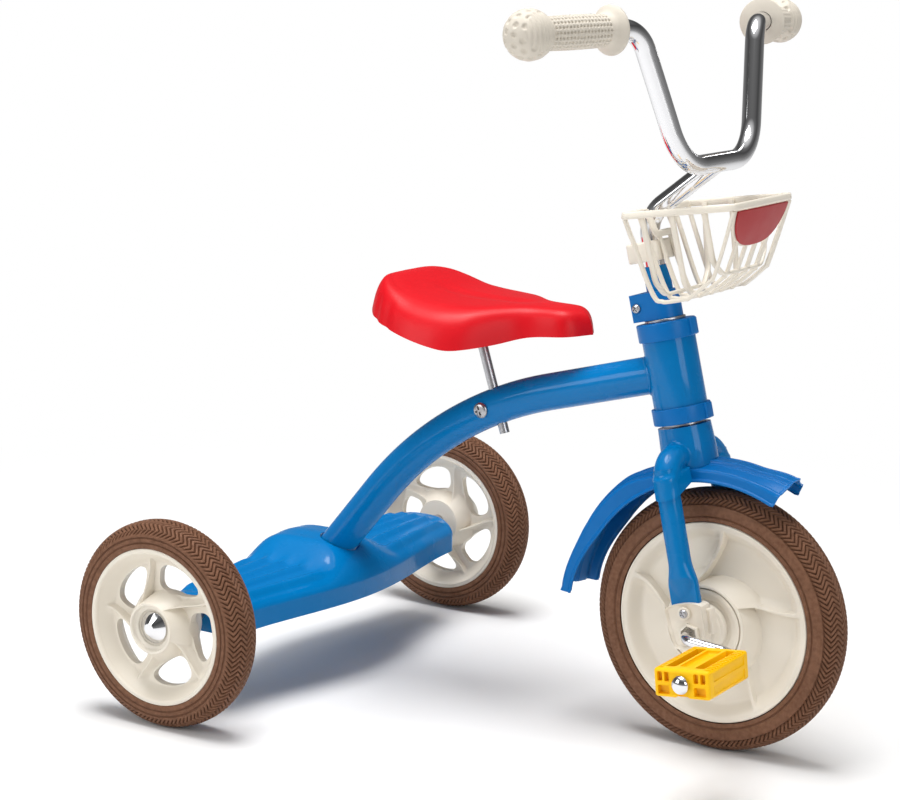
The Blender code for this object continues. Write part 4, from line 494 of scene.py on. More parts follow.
def platform_row(y):
    """Section of the pressing at one distance from the middle, from the front skirt over to the back one."""
    share = 0.5 + 0.5 * math.cos(math.pi * min(1.0, abs(y) / (PLATFORM_END * 1.03)))
    corner = min(1.0, max(0.0, abs(y) - (PLATFORM_END - PLATFORM_CORNER)) / PLATFORM_CORNER)
    lip = min(1.0, max(0.0, abs(y) - (PLATFORM_END - PLATFORM_LIP)) / PLATFORM_LIP)
    half = 0.0385 + 0.0235 * share - PLATFORM_CORNER * (1 - math.sqrt(1 - corner ** 2))
    hump = smooth(abs(y), [(0.0, 1.0), (0.020, 0.94), (0.062, 0.0)])
    ribs = smooth(abs(y), [(0.040, 0.0), (0.068, 1.0), (0.160, 1.0), (0.176, 0.0)])
    deck = PLATFORM_DECK + PLATFORM_HUMP * hump - PLATFORM_LIP * (1 - math.sqrt(1 - lip ** 2))
    heights = (PLATFORM_SKIRT, PLATFORM_SKIRT + 0.0006, 0.0790, 0.0830, 0.0870, PLATFORM_FOLD - 0.0010)
    skirt = [(half, z) for z in heights]
    row = list(skirt)
    steps = 80
    for i in range(steps + 1):
        angle = math.pi * i / steps
        u = math.copysign(abs(math.cos(angle)) ** 0.85, math.cos(angle))
        power = 3.2 - 0.8 * hump if u > 0 else 3.2 + 1.2 * hump
        crown = max(0.0, 1 - abs(u) ** power) ** (0.60 + 0.15 * hump)
        wave = 0.5 + 0.5 * math.cos(math.tau * 2.75 * u)
        ridge = wave ** 1.9 * smooth(abs(u), [(0.0, 1.0), (0.80, 1.0), (0.90, 0.0)])
        row.append((u * half, PLATFORM_FOLD + (deck - PLATFORM_FOLD) * crown + PLATFORM_RIB * ribs * ridge))
    row += [(-x, z) for x, z in skirt[::-1]]
    return [Vector((x + REAR_AXLE.x, y, z)) for x, z in row]


stations = [0.172 * math.copysign(abs(i / 64) ** 0.9, i) for i in range(-64, 65)]
ends = [PLATFORM_END - PLATFORM_CORNER * (1 - math.sin(math.pi / 2 * i / 14)) for i in range(1, 15)]
stations = [-y for y in ends[::-1]] + stations + ends
pressing = sheet_of("platform", [platform_row(y) for y in stations])
for end in (-PLATFORM_END, PLATFORM_END):
    rim = [v.index for v in pressing.data.vertices if abs(v.co.y - end) < TOUCHING]
    bpy.ops.object.mode_set(mode="EDIT")
    bpy.ops.mesh.select_mode(type="VERT")
    bpy.ops.mesh.select_all(action="DESELECT")
    bpy.ops.object.mode_set(mode="OBJECT")
    for index in rim:
        pressing.data.vertices[index].select = True
    bpy.ops.object.mode_set(mode="EDIT")
    bpy.ops.mesh.edge_face_add()
    bpy.ops.mesh.inset(thickness=0.0006)
    bpy.ops.object.mode_set(mode="OBJECT")
faced(in_edit(pressing, FACE_OUT), upward)
modify(pressing, "SOLIDIFY", thickness=PLATFORM_SHEET, offset=-1.0)
foot_way = (backbone_line[-2] - backbone_line[-1]).normalized()
cut(pressing, rod("tube_hole", REAR_AXLE + foot_way * 0.010, REAR_AXLE + foot_way * 0.090, FOOT_HOLE_RADIUS, 64))
cut(pressing, rod("axle_hole", REAR_AXLE - Vector((0, 0.2, 0)), REAR_AXLE + Vector((0, 0.2, 0)), AXLE_HOLE_RADIUS, 32))
settle(pressing, paint, "frame", "rear_platform", angle=28.0)


# Rear axle. A zinc-plated rod in a blue cross tube inside the platform, a spacer outside each end
# of the platform, and a chromed push-on cap that holds each wheel.

def kept(finish, *nodes):
    """Give a real finish to solids whose shape is already right."""
    for node in nodes:
        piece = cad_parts[node]
        for place in piece.material_slots:
            place.material = finish.material


def sleeve(name, bore, radius, low, high, fillet, around=48, matrix=Matrix.Identity(4)):
    """A turned sleeve: a spacer, a washer or, with six sides, a nut."""
    outline = [(bore, low, 0), (radius, low, fillet), (radius, high, fillet), (bore, high, 0)]
    return turned(name, outline, around, matrix)


def sideways(sign):
    """The turn that lays a lathe's axis out to the rider's left (1) or right (-1)."""
    return Matrix.Rotation(-sign * math.pi / 2, 4, "X")


zinc = mottled("plated_steel", (0.50, 0.50, 0.52), (0.33, 0.33, 0.34), (140.0, 4.0, 0.3, 0.7, 0.7),
               (300.0, 3.0, 0.20, 0.25), (1500.0, 2.0, 0.00006, 0.3), Metallic=1.0, Roughness=0.30)
chrome = mottled("chrome", (0.78, 0.78, 0.79), (0.62, 0.62, 0.64), (22.0, 4.0, 0.45, 0.75, 0.5),
                 (40.0, 5.0, 0.035, 0.06), (40.0, 1.0, 0.00010, 0.06), Metallic=1.0, Roughness=0.05)

kept(paint, "axle_tube")
kept(zinc, "rear_axle")

SIDES = (("right", -1), ("left", 1))
OUTBOARD = {"right": Matrix.Translation(REAR_AXLE) @ sideways(-1),
            "left": Matrix.Translation(REAR_AXLE) @ Matrix.Rotation(math.pi, 4, "Z") @ sideways(-1)}
CAP_BORE, CAP_SEAT = 0.0053, 0.2448
cap_outline = [(CAP_BORE, CAP_SEAT, 0), (0.0142, CAP_SEAT, 0.0003), (0.0142, CAP_SEAT + 0.0010, 0.0006),
               (0.0060, CAP_SEAT + 0.0068, 0.0012), (0.0048, CAP_SEAT + 0.0075, 0.0004), (0.0, CAP_SEAT + 0.0075, 0),
               (0.0, CAP_SEAT + 0.0042, 0), (CAP_BORE, CAP_SEAT + 0.0042, 0)]
for side, outward in OUTBOARD.items():
    spacer = sleeve("spacer_" + side, CAP_BORE, 0.0085, 0.1853, 0.2070, 0.0005)
    settle(spacer, zinc, "frame", "rear_spacer_" + side, matrix=outward)
    settle(turned("axle_cap_" + side, cap_outline), chrome, "frame", "rear_cap_" + side, matrix=outward)


# Tyres. Solid brown rubber stretched over the rim: zig-zag tread blocks over the crown, then a
# plain side wall with two fine rings. Front and rear differ in diameter and number of blocks.

def ring_grid(name, rows, joined_rows=False, capped=False):
    """A skin from rows of points that each run once round; its ends can be joined or capped."""
    rows = rows + rows[:1] if joined_rows else rows
    piece = sheet_of(name, [row + row[:1] for row in rows])
    return in_edit(piece, MERGE, *([CLOSE_ENDS] if capped else []), FACE_OUT)


def closed_grid(piece, rows, columns):
    """Close a sheet both ways, with its "sunk" values kept at their points."""
    mesh = piece.data
    faces = [tuple(face.vertices) for face in mesh.polygons]
    faces += [((r + 1) * columns - 1, r * columns, (r + 1) * columns, (r + 2) * columns - 1)
              for r in range(rows - 1)]
    last = (rows - 1) * columns
    faces += [(last + c, last + c + 1, c + 1, c) for c in range(columns - 1)]
    faces.append((last + columns - 1, last, 0, columns - 1))
    points = [vertex.co.copy() for vertex in mesh.vertices]
    values = [0.0] * len(points)
    mesh.attributes["sunk"].data.foreach_get("value", values)
    mesh.clear_geometry()
    mesh.from_pydata(points, [], faces)
    mesh.attributes.new("sunk", "FLOAT", "POINT").data.foreach_set("value", values)
    return in_edit(piece, FACE_OUT)


def spot(radius, angle, height):
    return Vector((radius * math.cos(angle), radius * math.sin(angle), height))


# Height of the tread over one pitch, from the groove up to the block and down again.
BLOCK = (0.0, 0.7, 1.0, 1.0, 1.0, 0.7)
TREAD_DEPTH, TREAD_FLANK, RING_DEPTH, TYRE_WIDE = 0.00170, 0.0030, 0.0010, 0.0188
# A zigzag swings by SWING round the tyre each time it goes LEG across it. A tyre stays RIM_GAP off the rim.
SWING, LEG, RIM_GAP = 0.0068, 0.0066, 0.0004


def tyre(name, radius, seat, blocks, grooves, tread):
    """A tyre on its own axis; grooves are the radii of its rings, tread half the tread's width."""
    middle = seat + 0.30 * (radius - seat)
    crown = radius - middle
    section = []
    for i in range(97):
        angle = math.radians(-34 + 248 * i / 96)
        c, s = math.cos(angle), math.sin(angle)
        bulge = (abs(c) ** 2.35 + abs(s) ** 2.35) ** (-1 / 2.35)
        section.append(Vector((middle + crown * s * bulge, TYRE_WIDE * c * bulge)))
    travelled = [0.0]
    for a, b in zip(section, section[1:]):
        travelled.append(travelled[-1] + (b - a).length)
    count = blocks * len(BLOCK)
    pitch = math.tau / count
    rows, sunk = [], []
    for i, (point, length) in enumerate(zip(section, travelled)):
        ahead = section[min(i + 1, 96)] - section[max(i - 1, 0)]
        out = Vector((-ahead.y, ahead.x)).normalized()
        v = length - travelled[-1] / 2
        depth = smooth(abs(v), [(tread - TREAD_FLANK, TREAD_DEPTH), (tread, 0.0)])
        ring = sum(RING_DEPTH * smooth(abs(point.x - at), [(0.0002, 1.0), (0.0011, 0.0)]) for at in grooves)
        shift = (abs(((v + 0.0100) / LEG) % 2.0 - 1.0) - 0.5) * SWING / radius
        row = []
        for k in range(count):
            down = ring + depth * (1.0 - BLOCK[k % len(BLOCK)])
            place = point - out * down
            row.append(spot(max(place.x, seat + RIM_GAP), k * pitch + shift, place.y))
            # How deep the point lies; the tyre's finish keeps deep points darker, as painted shade in the grooves.
            sunk.append(down / 0.0015)
        rows.append(row)
    for lift, height in ((0.0002, -0.0170), (0.0002, -0.0100), (-0.0030, 0.0), (0.0002, 0.0100), (0.0002, 0.0170)):
        rows.append([spot(seat + lift, k * pitch, height) for k in range(count)])
        sunk += [1.0] * count
    piece = sheet_of(name, rows)
    piece.data.attributes.new("sunk", "FLOAT", "POINT").data.foreach_set("value", sunk)
    return closed_grid(piece, len(rows), count)


def from_axle(finish, axle):
    """Distance of a surface point from an axle that runs across the tricycle."""
    place = finish.node("ShaderNodeSeparateXYZ", {}, {"Vector": finish.here}, "X")
    ahead = place - axle.x
    height = Reading(finish.tree, place.socket.node.outputs["Z"]) - axle.z
    return (ahead * ahead + height * height) ** 0.5

rubber = {}
for part, axle, top in (("front", FRONT_AXLE, 0.1150), ("rear", REAR_AXLE, 0.0924)):
    brown = Finish("brown_tyre_" + part, (0.095, 0.040, 0.020), "brown_tyre", Roughness=0.62, Specular_IOR_Level=0.20)
    sunk = brown.node("ShaderNodeAttribute", {"attribute_name": "sunk"}, {}, "Fac")
    grain = (brown.noise(260.0, 4.0) * 1.6 - 0.30).clipped(0.0, 1.0)
    # Lighter rubber grain on the tread, held back by each point's depth, so that the grooves, rings and rim seat stay
    # darker: that darkening is painted shade.
    grain_and_groove_shade = (grain * 0.75 + brown.noise(24.0, 3.0) * 0.3) * (1.0 - sunk.clipped(0.0, 1.0) * 0.9)
    brown.tint(grain_and_groove_shade, (0.240, 0.117, 0.068))
    brown.vary("Roughness", 0.52 + 0.22 * brown.noise(90.0, 4.0))
    rough = ((from_axle(brown, axle) - (top - 0.0112)) / 0.0010).clipped(0.15, 1.0)
    brown.bump(brown.noise(900.0, 4.0) * rough, 0.00045, 0.6)
    rubber[part] = brown

WHEELS = {side: Matrix.Translation((0, sign * 0.2288, 0)) @ OUTBOARD[side] for side, sign in SIDES}
FRONT_HUB = Matrix.Translation(FRONT_AXLE) @ sideways(-1)
for side, place in WHEELS.items():
    settle(tyre("tyre_rear_" + side, 0.0924, 0.0698, 118, (0.0752, 0.0797), 0.0230), rubber["rear"],
           "rear_wheel_" + side, "rear_tyre_" + side, matrix=place)
settle(tyre("tyre_front", 0.1150, 0.0882, 150, (0.0930, 0.1040), 0.0240), rubber["front"], "front_wheel",
       "front_tyre", matrix=FRONT_HUB)


# Rear wheels. Each is one cream moulding: hub barrel, five spokes that sweep round and carry a
# raised ridge, rounded windows between them, and a wide dished rim under the tyre.

cream = mottled("cream_plastic", (0.790, 0.735, 0.640), (0.750, 0.685, 0.580), (14.0, 4.0, 0.25, 0.75, 0.6),
                (45.0, 4.0, 0.30, 0.16), (700.0, 2.0, 0.00008, 0.22), Roughness=0.36, Specular_IOR_Level=0.35)

# The ribs divide each wheel into sectors. COLUMNS are the angles past a rib at which its face is
# drawn, in degrees; they stand closer near the ribs.
SECTORS = 5
SECTOR = 360.0 / SECTORS
COLUMNS = [0.0, 0.6, 1.1, 1.7, 2.4, 3.2, 4.5] + [6.0 + 2.6 * i for i in range(23)]
COLUMNS += [65.5, 67.5, 69.0, 70.2, 71.0, 71.6]


def hub_cone(radius, past, start, top, reach, more, foot, fall):
    """Height of the cone round the hub; its foot swings out from one rib to the next."""
    base = reach + more * (past / SECTOR) ** 1.2
    if radius > base:
        return foot - (radius - base) * fall
    return top - max(0.0, radius - start) * (top - foot) / (base - start)


def ribbed(cone, dish, crest, near):
    """The higher of the cone and the rib, with the corner between them filled a little."""
    rib = dish + max(0.0, crest - dish) * min(1.0, near)
    high, low = max(cone, rib), min(cone, rib)
    return high + 0.0006 * max(0.0, 1.0 - (high - low) / 0.0016) ** 2


def flanks(radius, past):
    """Distances along the arc from a point to the rib before it and to the next one."""
    return math.radians(past) * radius, math.radians(SECTOR - past) * radius


def spoke_turn(radius):
    """Angle of a spoke's crest at a radius, in degrees."""
    return 29.0 + 24.0 * (max(0.0, 0.0580 - radius) / 0.0355) ** 2.0

def web_height(radius, past):
    """Height of a rear wheel's face at an angle, in degrees, past a spoke's crest."""
    dish = 0.0034 + 0.0150 * max(0.0, (radius - 0.0555) / 0.0110) ** 1.35
    crest = 0.0086 + 9.0 * (radius - 0.0555) ** 2
    steep, gentle = flanks(radius, past)
    near = smooth(steep, [(0.0004, 1.0), (0.0022, 0.0)])
    near += smooth(gentle, [(0.0006, 1.0), (0.0026, 0.50), (0.0065, 0.0)])
    return ribbed(hub_cone(radius, past, 0.0229, 0.0214, 0.0275, 0.0070, 0.0060, 4.0), dish, crest, near)


def polar_disc(name, stations, height, turn, seat):
    """Both faces of a wheel's moulding; the columns follow the ribs as they curve."""
    rows = []
    for face in (1, -1):
        side_rows = []
        for radius in stations:
            side_rows.append([spot(radius, math.radians(turn(radius) - sector * SECTOR - column),
                                   face * height(radius, column))
                              for sector in range(SECTORS) for column in COLUMNS])
        rows += side_rows if face > 0 else side_rows[::-1]
        if face > 0:
            rows.append([Vector((p.x, p.y, 0.0)) * (seat / stations[-1]) for p in side_rows[-1]])
    return ring_grid(name, rows, True)


def extruded(name, outline, push, *steps):
    """A flat outline drawn out by a push; the steps then work on its end face."""
    piece = fresh(bpy.ops.mesh.primitive_circle_add, name, vertices=len(outline), radius=0.01, fill_type="NGON")
    for vertex, point in zip(piece.data.vertices, outline):
        vertex.co = point
    return in_edit(piece, (bpy.ops.mesh.extrude_region_move, {"TRANSFORM_OT_translate": {"value": push}}),
                   *steps, SELECT_ALL, FACE_OUT)


def window_cutter():
    """A prism with the outline of one window, widest at the rim and rounded at its corners."""
    shape = []
    for i in range(96):
        angle = math.tau * i / 96
        u = math.copysign(abs(math.cos(angle)) ** 0.62, math.cos(angle))
        w = math.copysign(abs(math.sin(angle)) ** 0.62, math.sin(angle))
        radius = 0.0432 + 0.0122 * u
        half = 0.0080 + 0.0190 * ((radius - 0.0308) / 0.0248) ** 0.75
        shape.append(spot(radius, math.radians(spoke_turn(radius) - SECTOR / 2) + w * half / radius, -0.0300))
    return extruded("window", shape, (0, 0, 0.0600))


def joined(name, pieces):
    bpy.ops.object.select_all(action="DESELECT")
    for piece in pieces:
        piece.select_set(True)
    bpy.context.view_layer.objects.active = pieces[0]
    bpy.ops.object.join()
    pieces[0].name = name
    return pieces[0]


rear_stations = [0.0220] + [0.0229 + 0.0006 * i for i in range(24)] + [0.0375 + 0.0014 * i for i in range(14)]
rear_stations += [0.0568, 0.0580, 0.0592, 0.0604, 0.0616, 0.0628, 0.0640, 0.0650, 0.0658, 0.0664]
hub_outline = [(0.0054, -0.0215, 0), (0.0221, -0.0215, 0.0010), (0.0231, -0.0140, 0.0020), (0.0231, 0.0205, 0.0006),
               (0.0228, 0.0221, 0.0007), (0.0206, 0.0223, 0.0007), (0.0198, 0.0188, 0.0006), (0.0165, 0.0178, 0.0006),
               (0.0160, 0.0157, 0.0004), (0.0054, 0.0157, 0)]
lip_outline = [(0.0645, -0.0160, 0), (0.0662, -0.0178, 0.0006), (0.0700, -0.0178, 0.0008), (0.0700, -0.0160, 0),
               (0.0660, 0.0, 0), (0.0700, 0.0160, 0), (0.0700, 0.0178, 0.0008), (0.0662, 0.0182, 0.0006),
               (0.0645, 0.0160, 0)]
for side, place in WHEELS.items():
    web = polar_disc("web", rear_stations, web_height, spoke_turn, 0.0640)
    for i in range(SECTORS):
        cut(web, put(window_cutter(), Matrix.Rotation(math.tau * i / SECTORS, 4, "Z")))
    rim = joined("rim_rear_" + side, [web, turned("hub", hub_outline, 96), turned("lip", lip_outline, 144)])
    settle(rim, cream, "rear_wheel_" + side, "rear_rim_" + side, matrix=place, angle=40.0)


# Front wheel. A solid cream disc with five curved ribs on each face, a dished edge under the tyre,
# and a stepped hub cover pushed onto each side.

def crest_turn(radius):
    """Angle of a rib's crest at a radius, in degrees."""
    return 13.5 + 22.0 * (max(0.0, 0.0800 - radius) / 0.0440) ** 2.2

def disc_height(radius, past):
    """Height of the front wheel's face at an angle, in degrees, past a rib's crest."""
    dish = smooth(radius, [(0.0360, 0.0085), (0.0560, 0.0064), (0.0715, 0.0060), (0.0838, 0.0168), (0.0872, 0.0178)])
    dish -= 0.0012 * max(0.0, (radius - 0.0866) / 0.0012) ** 2
    crest = 0.0136 + (12.0 if radius > 0.0660 else 7.0) * (radius - 0.0660) ** 2
    crest = min(0.0168, crest) if radius > 0.0660 else crest
    steep, gentle = flanks(radius, past)
    near = smooth(steep, [(0.0006, 1.0), (0.0017, 0.0)])
    near += smooth(gentle, [(0.0024, 1.0), (0.0038, 0.42), (0.0100, 0.0)])
    return ribbed(hub_cone(radius, past, 0.0362, 0.0314, 0.0380, 0.0105, 0.0130, 6.0), dish, crest, near)


front_stations = [0.0350, 0.0358] + [0.0362 + 0.0005 * i for i in range(28)]
front_stations += [0.0508 + 0.0014 * i for i in range(22)]
front_stations += [0.0810, 0.0818, 0.0826, 0.0832, 0.0838, 0.0844, 0.0852, 0.0860, 0.0866, 0.0870, 0.0874, 0.0878]
settle(polar_disc("rim_front", front_stations, disc_height, crest_turn, 0.0840), cream, "front_wheel", "front_rim",
       matrix=FRONT_HUB, angle=40.0)

cover_outline = [(0.0049, 0.0158, 0), (0.0366, 0.0110, 0), (0.0366, 0.0314, 0.0007), (0.0343, 0.0321, 0.0004),
                 (0.0340, 0.0285, 0), (0.0333, 0.0285, 0), (0.0330, 0.0317, 0.0004), (0.0300, 0.0320, 0.0008),
                 (0.0252, 0.0312, 0.0006), (0.0246, 0.0300, 0.0004), (0.0049, 0.0300, 0)]
for side, turn in (("right", 0.0), ("left", math.pi)):
    cover = turned("hub_cover_skin_" + side, cover_outline, 120, Matrix.Rotation(turn, 4, "X"))
    settle(cover, cream, "front_wheel", "hub_cover_" + side, matrix=FRONT_HUB)


# Crank. One chromed rod, bent to an arm and a pedal pin at each end; it turns with the front wheel.
# A plated washer and a domed push-on cap hold each pedal on its pin.

CRANK_TURN, CRANK_ARM = math.radians(-5.0), 0.0490
PIN_BORE = 0.0048
crank_way = Vector((math.cos(CRANK_TURN), 0, math.sin(CRANK_TURN)))
PEDAL_SPOTS = {side: FRONT_AXLE - crank_way * CRANK_ARM * sign for side, sign in SIDES}
crank_corners = [Vector((point.x, y, point.z)) for point, y in (
    (PEDAL_SPOTS["right"], -0.1720), (PEDAL_SPOTS["right"], -0.0730), (FRONT_AXLE, -0.0730),
    (FRONT_AXLE, 0.0730), (PEDAL_SPOTS["left"], 0.0730), (PEDAL_SPOTS["left"], 0.1720))]
settle(pipe("crank_rod", bent_line(crank_corners, 0.0110, 16), 0.0045, 16), chrome, "front_wheel", "crank")

dome = [(0.0078 * math.cos(math.radians(a)), 0.1696 + 0.0056 * math.sin(math.radians(a)), 0)
        for a in range(0, 90, 15)]
pin_cap_outline = [(PIN_BORE, 0.1683, 0), (0.0074, 0.1683, 0.0003)] + dome
pin_cap_outline += [(0.0, 0.1752, 0), (0.0, 0.1728, 0), (PIN_BORE, 0.1728, 0)]
for side, sign in SIDES:
    outward = Matrix.Translation(PEDAL_SPOTS[side]) @ sideways(sign)
    cap = turned("pin_cap_" + side, pin_cap_outline, 48)
    settle(cap, chrome, "front_wheel", "pedal_cap_" + side, matrix=outward)
    washer = sleeve("pin_washer_" + side, PIN_BORE, 0.0085, 0.0952, 0.0967, 0.0003)
    settle(washer, zinc, "front_wheel", "pedal_washer_" + side, matrix=outward)


# Pedals. Yellow block mouldings: two toothed rails, a bored middle rib, and shallow pockets in the
# end plates on both sides of the pin.

yellow = mottled("yellow_plastic", (0.980, 0.560, 0.000), (0.930, 0.480, 0.000), (30.0, 4.0, 0.3, 0.7, 0.6),
                 (80.0, 3.0, 0.32, 0.18), (800.0, 2.0, 0.00010, 0.25), Roughness=0.38, Specular_IOR_Level=0.22)


def pedal(name, sign):
    """A pedal about its own pin, which runs along Y; sign gives the side on which the end lies."""
    inner, outer = 0.0970, 0.1680
    ends, faces = ((-1, 1), (1, 1)), ((1, -1), (1, 1))
    corners = [(x, z) for x in (-1, 1) for z in (-1, 1)]
    holes = []

    def hollow(flips, low, high, bevel=0.0, segments=2):
        for x, z in flips:
            holes.append(put(block("hollow", low, high, bevel, segments), Matrix.Diagonal((x, 1, z, 1))))

    body = block(name, (-0.0245, inner, -0.0118), (0.0245, outer, 0.0118))
    modify(body, "BEVEL", width=0.0026, segments=4, limit_method="ANGLE")
    hollow(ends, (0.0085, inner + 0.0075, -0.03), (0.0170, outer - 0.0075, 0.03), 0.0018, 3)
    for k in range(14):
        y = inner + 0.0060 + k * 0.0045
        hollow(corners, (0.0178, y, 0.0106), (0.030, y + 0.0021, 0.0200))
    hollow(corners, (0.0237, inner + 0.0080, 0.0016), (0.030, outer - 0.0080, 0.0088), 0.0006)
    for x0, z0, x1, z1 in ((0.0108, 0.0012, 0.0150, 0.0092), (0.0168, 0.0012, 0.0212, 0.0092),
                           (0.0108, -0.0092, 0.0212, -0.0018)):
        hollow(ends, (x0, outer - 0.0050, z0), (x1, outer + 0.01, z1), 0.0010)
    hollow(faces, (-0.0062, inner + 0.010, 0.0086), (0.0062, outer - 0.010, 0.03), 0.0016, 3)
    holes.append(rod("arch", (0, outer - 0.0060, -0.0165), (0, outer + 0.01, -0.0165), 0.0082, 48))
    cutter = in_edit(joined("pedal_cutter", holes), FACE_OUT)
    modify(body, "BOOLEAN", operation="DIFFERENCE", object=cutter, solver="EXACT", use_self=True)
    bpy.data.objects.remove(cutter)
    cut(body, rod("bore", (0, 0.05, 0), (0, 0.2, 0), 0.0049, 32))
    modify(body, "BEVEL", width=0.00035, segments=2, limit_method="ANGLE", angle_limit=math.radians(40))
    if sign < 0:
        put(body, Matrix.Rotation(math.pi, 4, "Z"))
    return body


PEDAL_TILT = math.radians(6.0)
for side, sign in SIDES:
    place = Matrix.Translation(PEDAL_SPOTS[side]) @ Matrix.Rotation(-PEDAL_TILT, 4, "Y")
    settle(pedal("pedal_block_" + side, sign), yellow, "pedal_" + side, "pedal_" + side, matrix=place,
           angle=35.0)


# Seat post, bracket and clamp bolt. A plated rod runs up through the backbone; a welded plate on
# its top takes the saddle, and a bolt through the backbone nips the rod at the chosen height.

def screw_head(name, radius, height, matrix, shank):
    """A pan head with a cross recess, standing on Z = 0 of the given place."""
    outline = [(radius, 0.0, 0), (radius, height * 0.35, height * 0.2),
               (radius * 0.80, height * 0.85, height * 0.3), (radius * 0.45, height, height * 0.2),
               (0.0, height, 0), (0.0, -shank - 0.0004, 0), (radius * 0.5, -shank - 0.0004, 0),
               (radius * 0.5, 0.0, 0)]
    head = turned(name, outline, 48)
    reach, half_width = radius * 0.62, radius * 0.13
    for turn in (0.4, 0.4 + math.pi / 2):
        recess = block("recess", (-reach, -half_width, height * 0.35), (reach, half_width, height * 2))
        cut(head, put(recess, Matrix.Rotation(turn, 4, "Z")))
    return put(head, matrix)


post_top = post_foot + post_way * 0.1130
post = pipe("seat_rod", [post_foot, post_foot + post_way * 0.02, post_top], 0.0045, 12)
settle(post, zinc, "seat", "seat_post")
kept(zinc, "saddle_screw_front", "saddle_screw_rear")

plate = block("saddle_plate", (post_top.x - 0.0240, -0.0130, 0.3576),
              (post_top.x + 0.0240, 0.0130, 0.3599), 0.0008, 2)
socket_line = [post_top + post_way * reach for reach in (-0.0160, -0.0150, 0.0008)]
socket = pipe("saddle_socket", socket_line, 0.0068, 12)
settle(joined("saddle_bracket_skin", [plate, socket]), zinc, "seat", "saddle_bracket")

nut_low, nut_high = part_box("seat_clamp_nut")
bolt_centre = Vector(((nut_low[0] + nut_high[0]) / 2, 0.0, (nut_low[2] + nut_high[2]) / 2))
bolt_place = Matrix.Translation(bolt_centre + Vector((0, -0.0166, 0))) @ sideways(-1)
settle(screw_head("clamp_head", 0.0070, 0.0032, bolt_place, 0.012), zinc, "frame", "seat_clamp_bolt")
nut_place = Matrix.Translation(bolt_centre) @ sideways(1)
nut = sleeve("clamp_nut", 0.0031, 0.0070, 0.0168, 0.0216, 0.0004, 6, nut_place)
settle(nut, zinc, "frame", "seat_clamp_nut", angle=20.0)


# Saddle. One shell moulded in soft red plastic, wide behind and narrow in front, with a raised
# rear edge, a shallow middle crease, flutes down each flank and a turned-in lower edge.

def spline(points, per_span):
    """A smooth line through the points."""
    stations = [Vector(p) for p in points]
    ends = [stations[0] * 2 - stations[1]] + stations + [stations[-1] * 2 - stations[-2]]
    line = []
    for a, b, c, d in zip(ends, ends[1:], ends[2:], ends[3:]):
        for i in range(per_span):
            t = i / per_span
            bow, twist = 2 * a - 5 * b + 4 * c - d, 3 * b - a - 3 * c + d
            line.append(0.5 * (2 * b + (c - a) * t + bow * t * t + twist * t ** 3))
    return line + [stations[-1]]


def along(line, value):
    """Second coordinate of a line at a value of the first."""
    for a, b in zip(line, line[1:]):
        if value <= b.x:
            return a.y + (b.y - a.y) * max(0.0, (value - a.x) / (b.x - a.x))
    return line[-1].y


# Seen from the left with X from the rear axle: half of the outline from above, the lower edge, and
# the crest; the last one is how far the surface has dropped from the crest towards the lower edge.
half_line = spline([(0.0860, 0.0), (0.0905, 0.0430), (0.1150, 0.0740), (0.1600, 0.0868), (0.2000, 0.0775),
                    (0.2380, 0.0350), (0.2760, 0.0240), (0.2920, 0.0)], 14)
skirt_line = spline([(0.0800, 0.3630), (0.0900, 0.3620), (0.1050, 0.3550), (0.1400, 0.3450), (0.1750, 0.3370),
                     (0.1950, 0.3345), (0.2200, 0.3380), (0.2470, 0.3450), (0.2900, 0.3480)], 8)
crest_line = spline([(0.0800, 0.3870), (0.0920, 0.3885), (0.1050, 0.3880), (0.1250, 0.3810), (0.1500, 0.3740),
                     (0.1850, 0.3710), (0.2500, 0.3710), (0.2750, 0.3700), (0.2930, 0.3660)], 8)
drop_line = spline([(0.0, 0.0), (0.55, 0.035), (0.76, 0.13), (0.88, 0.32), (0.95, 0.60), (1.0, 1.0)], 8)

def saddle_shell(name):
    """Rings that grow from the middle line to the outline, then the shell's thickness."""
    outline = half_line + [Vector((p.x, -p.y)) for p in half_line[-2:0:-1]]
    rows = []
    for k in range(49):
        share = (k / 48) ** 0.80
        row = []
        for edge in outline:
            centre = Vector((min(max(edge.x, 0.1250), 0.2620), 0.0))
            place = centre.lerp(edge, share)
            top = along(crest_line, place.x)
            rear = smooth(place.x, [(0.110, 1.0), (0.150, 0.0)])
            crease = 0.0016 * smooth(abs(place.y), [(0.0, 1.0), (0.016, 0.0)])
            crease *= smooth(place.x, [(0.120, 0.0), (0.150, 1.0), (0.215, 1.0), (0.240, 0.0)])
            lip = 0.0022 * rear * smooth(abs(share - 0.80), [(0.0, 1.0), (0.16, 0.0)])
            flute = 0.0013 * smooth(share, [(0.86, 0.0), (0.94, 1.0)])
            flute *= sum(smooth(abs(edge.x - mid), [(0.0, 1.0), (0.0060, 0.0)]) for mid in (0.112, 0.128))
            drop = along(drop_line, share)
            inward = Vector((0.165 - edge.x, -edge.y)).normalized() * flute
            row.append(Vector((place.x + inward.x + REAR_AXLE.x, place.y + inward.y,
                               top - crease + lip - drop * (top - along(skirt_line, edge.x)))))
        rows.append(row)
    shell = faced(ring_grid(name, rows), upward)
    return modify(shell, "SOLIDIFY", thickness=0.0036, offset=-1.0, use_even_offset=False)


red = Finish("red_plastic", (0.640, 0.003, 0.010), Roughness=0.38, Specular_IOR_Level=0.24)
red.tint(red.noise(16.0, 4.0).clipped(0.3, 0.7) * 0.7, (0.540, 0.003, 0.008))
red.vary("Roughness", 0.32 + 0.20 * red.noise(34.0, 4.0))
pebbles = red.node("ShaderNodeTexVoronoi", {"feature": "F1"}, {"Vector": red.here, "Scale": 900.0}, "Distance")
red.bump(pebbles, 0.00012, 0.22)

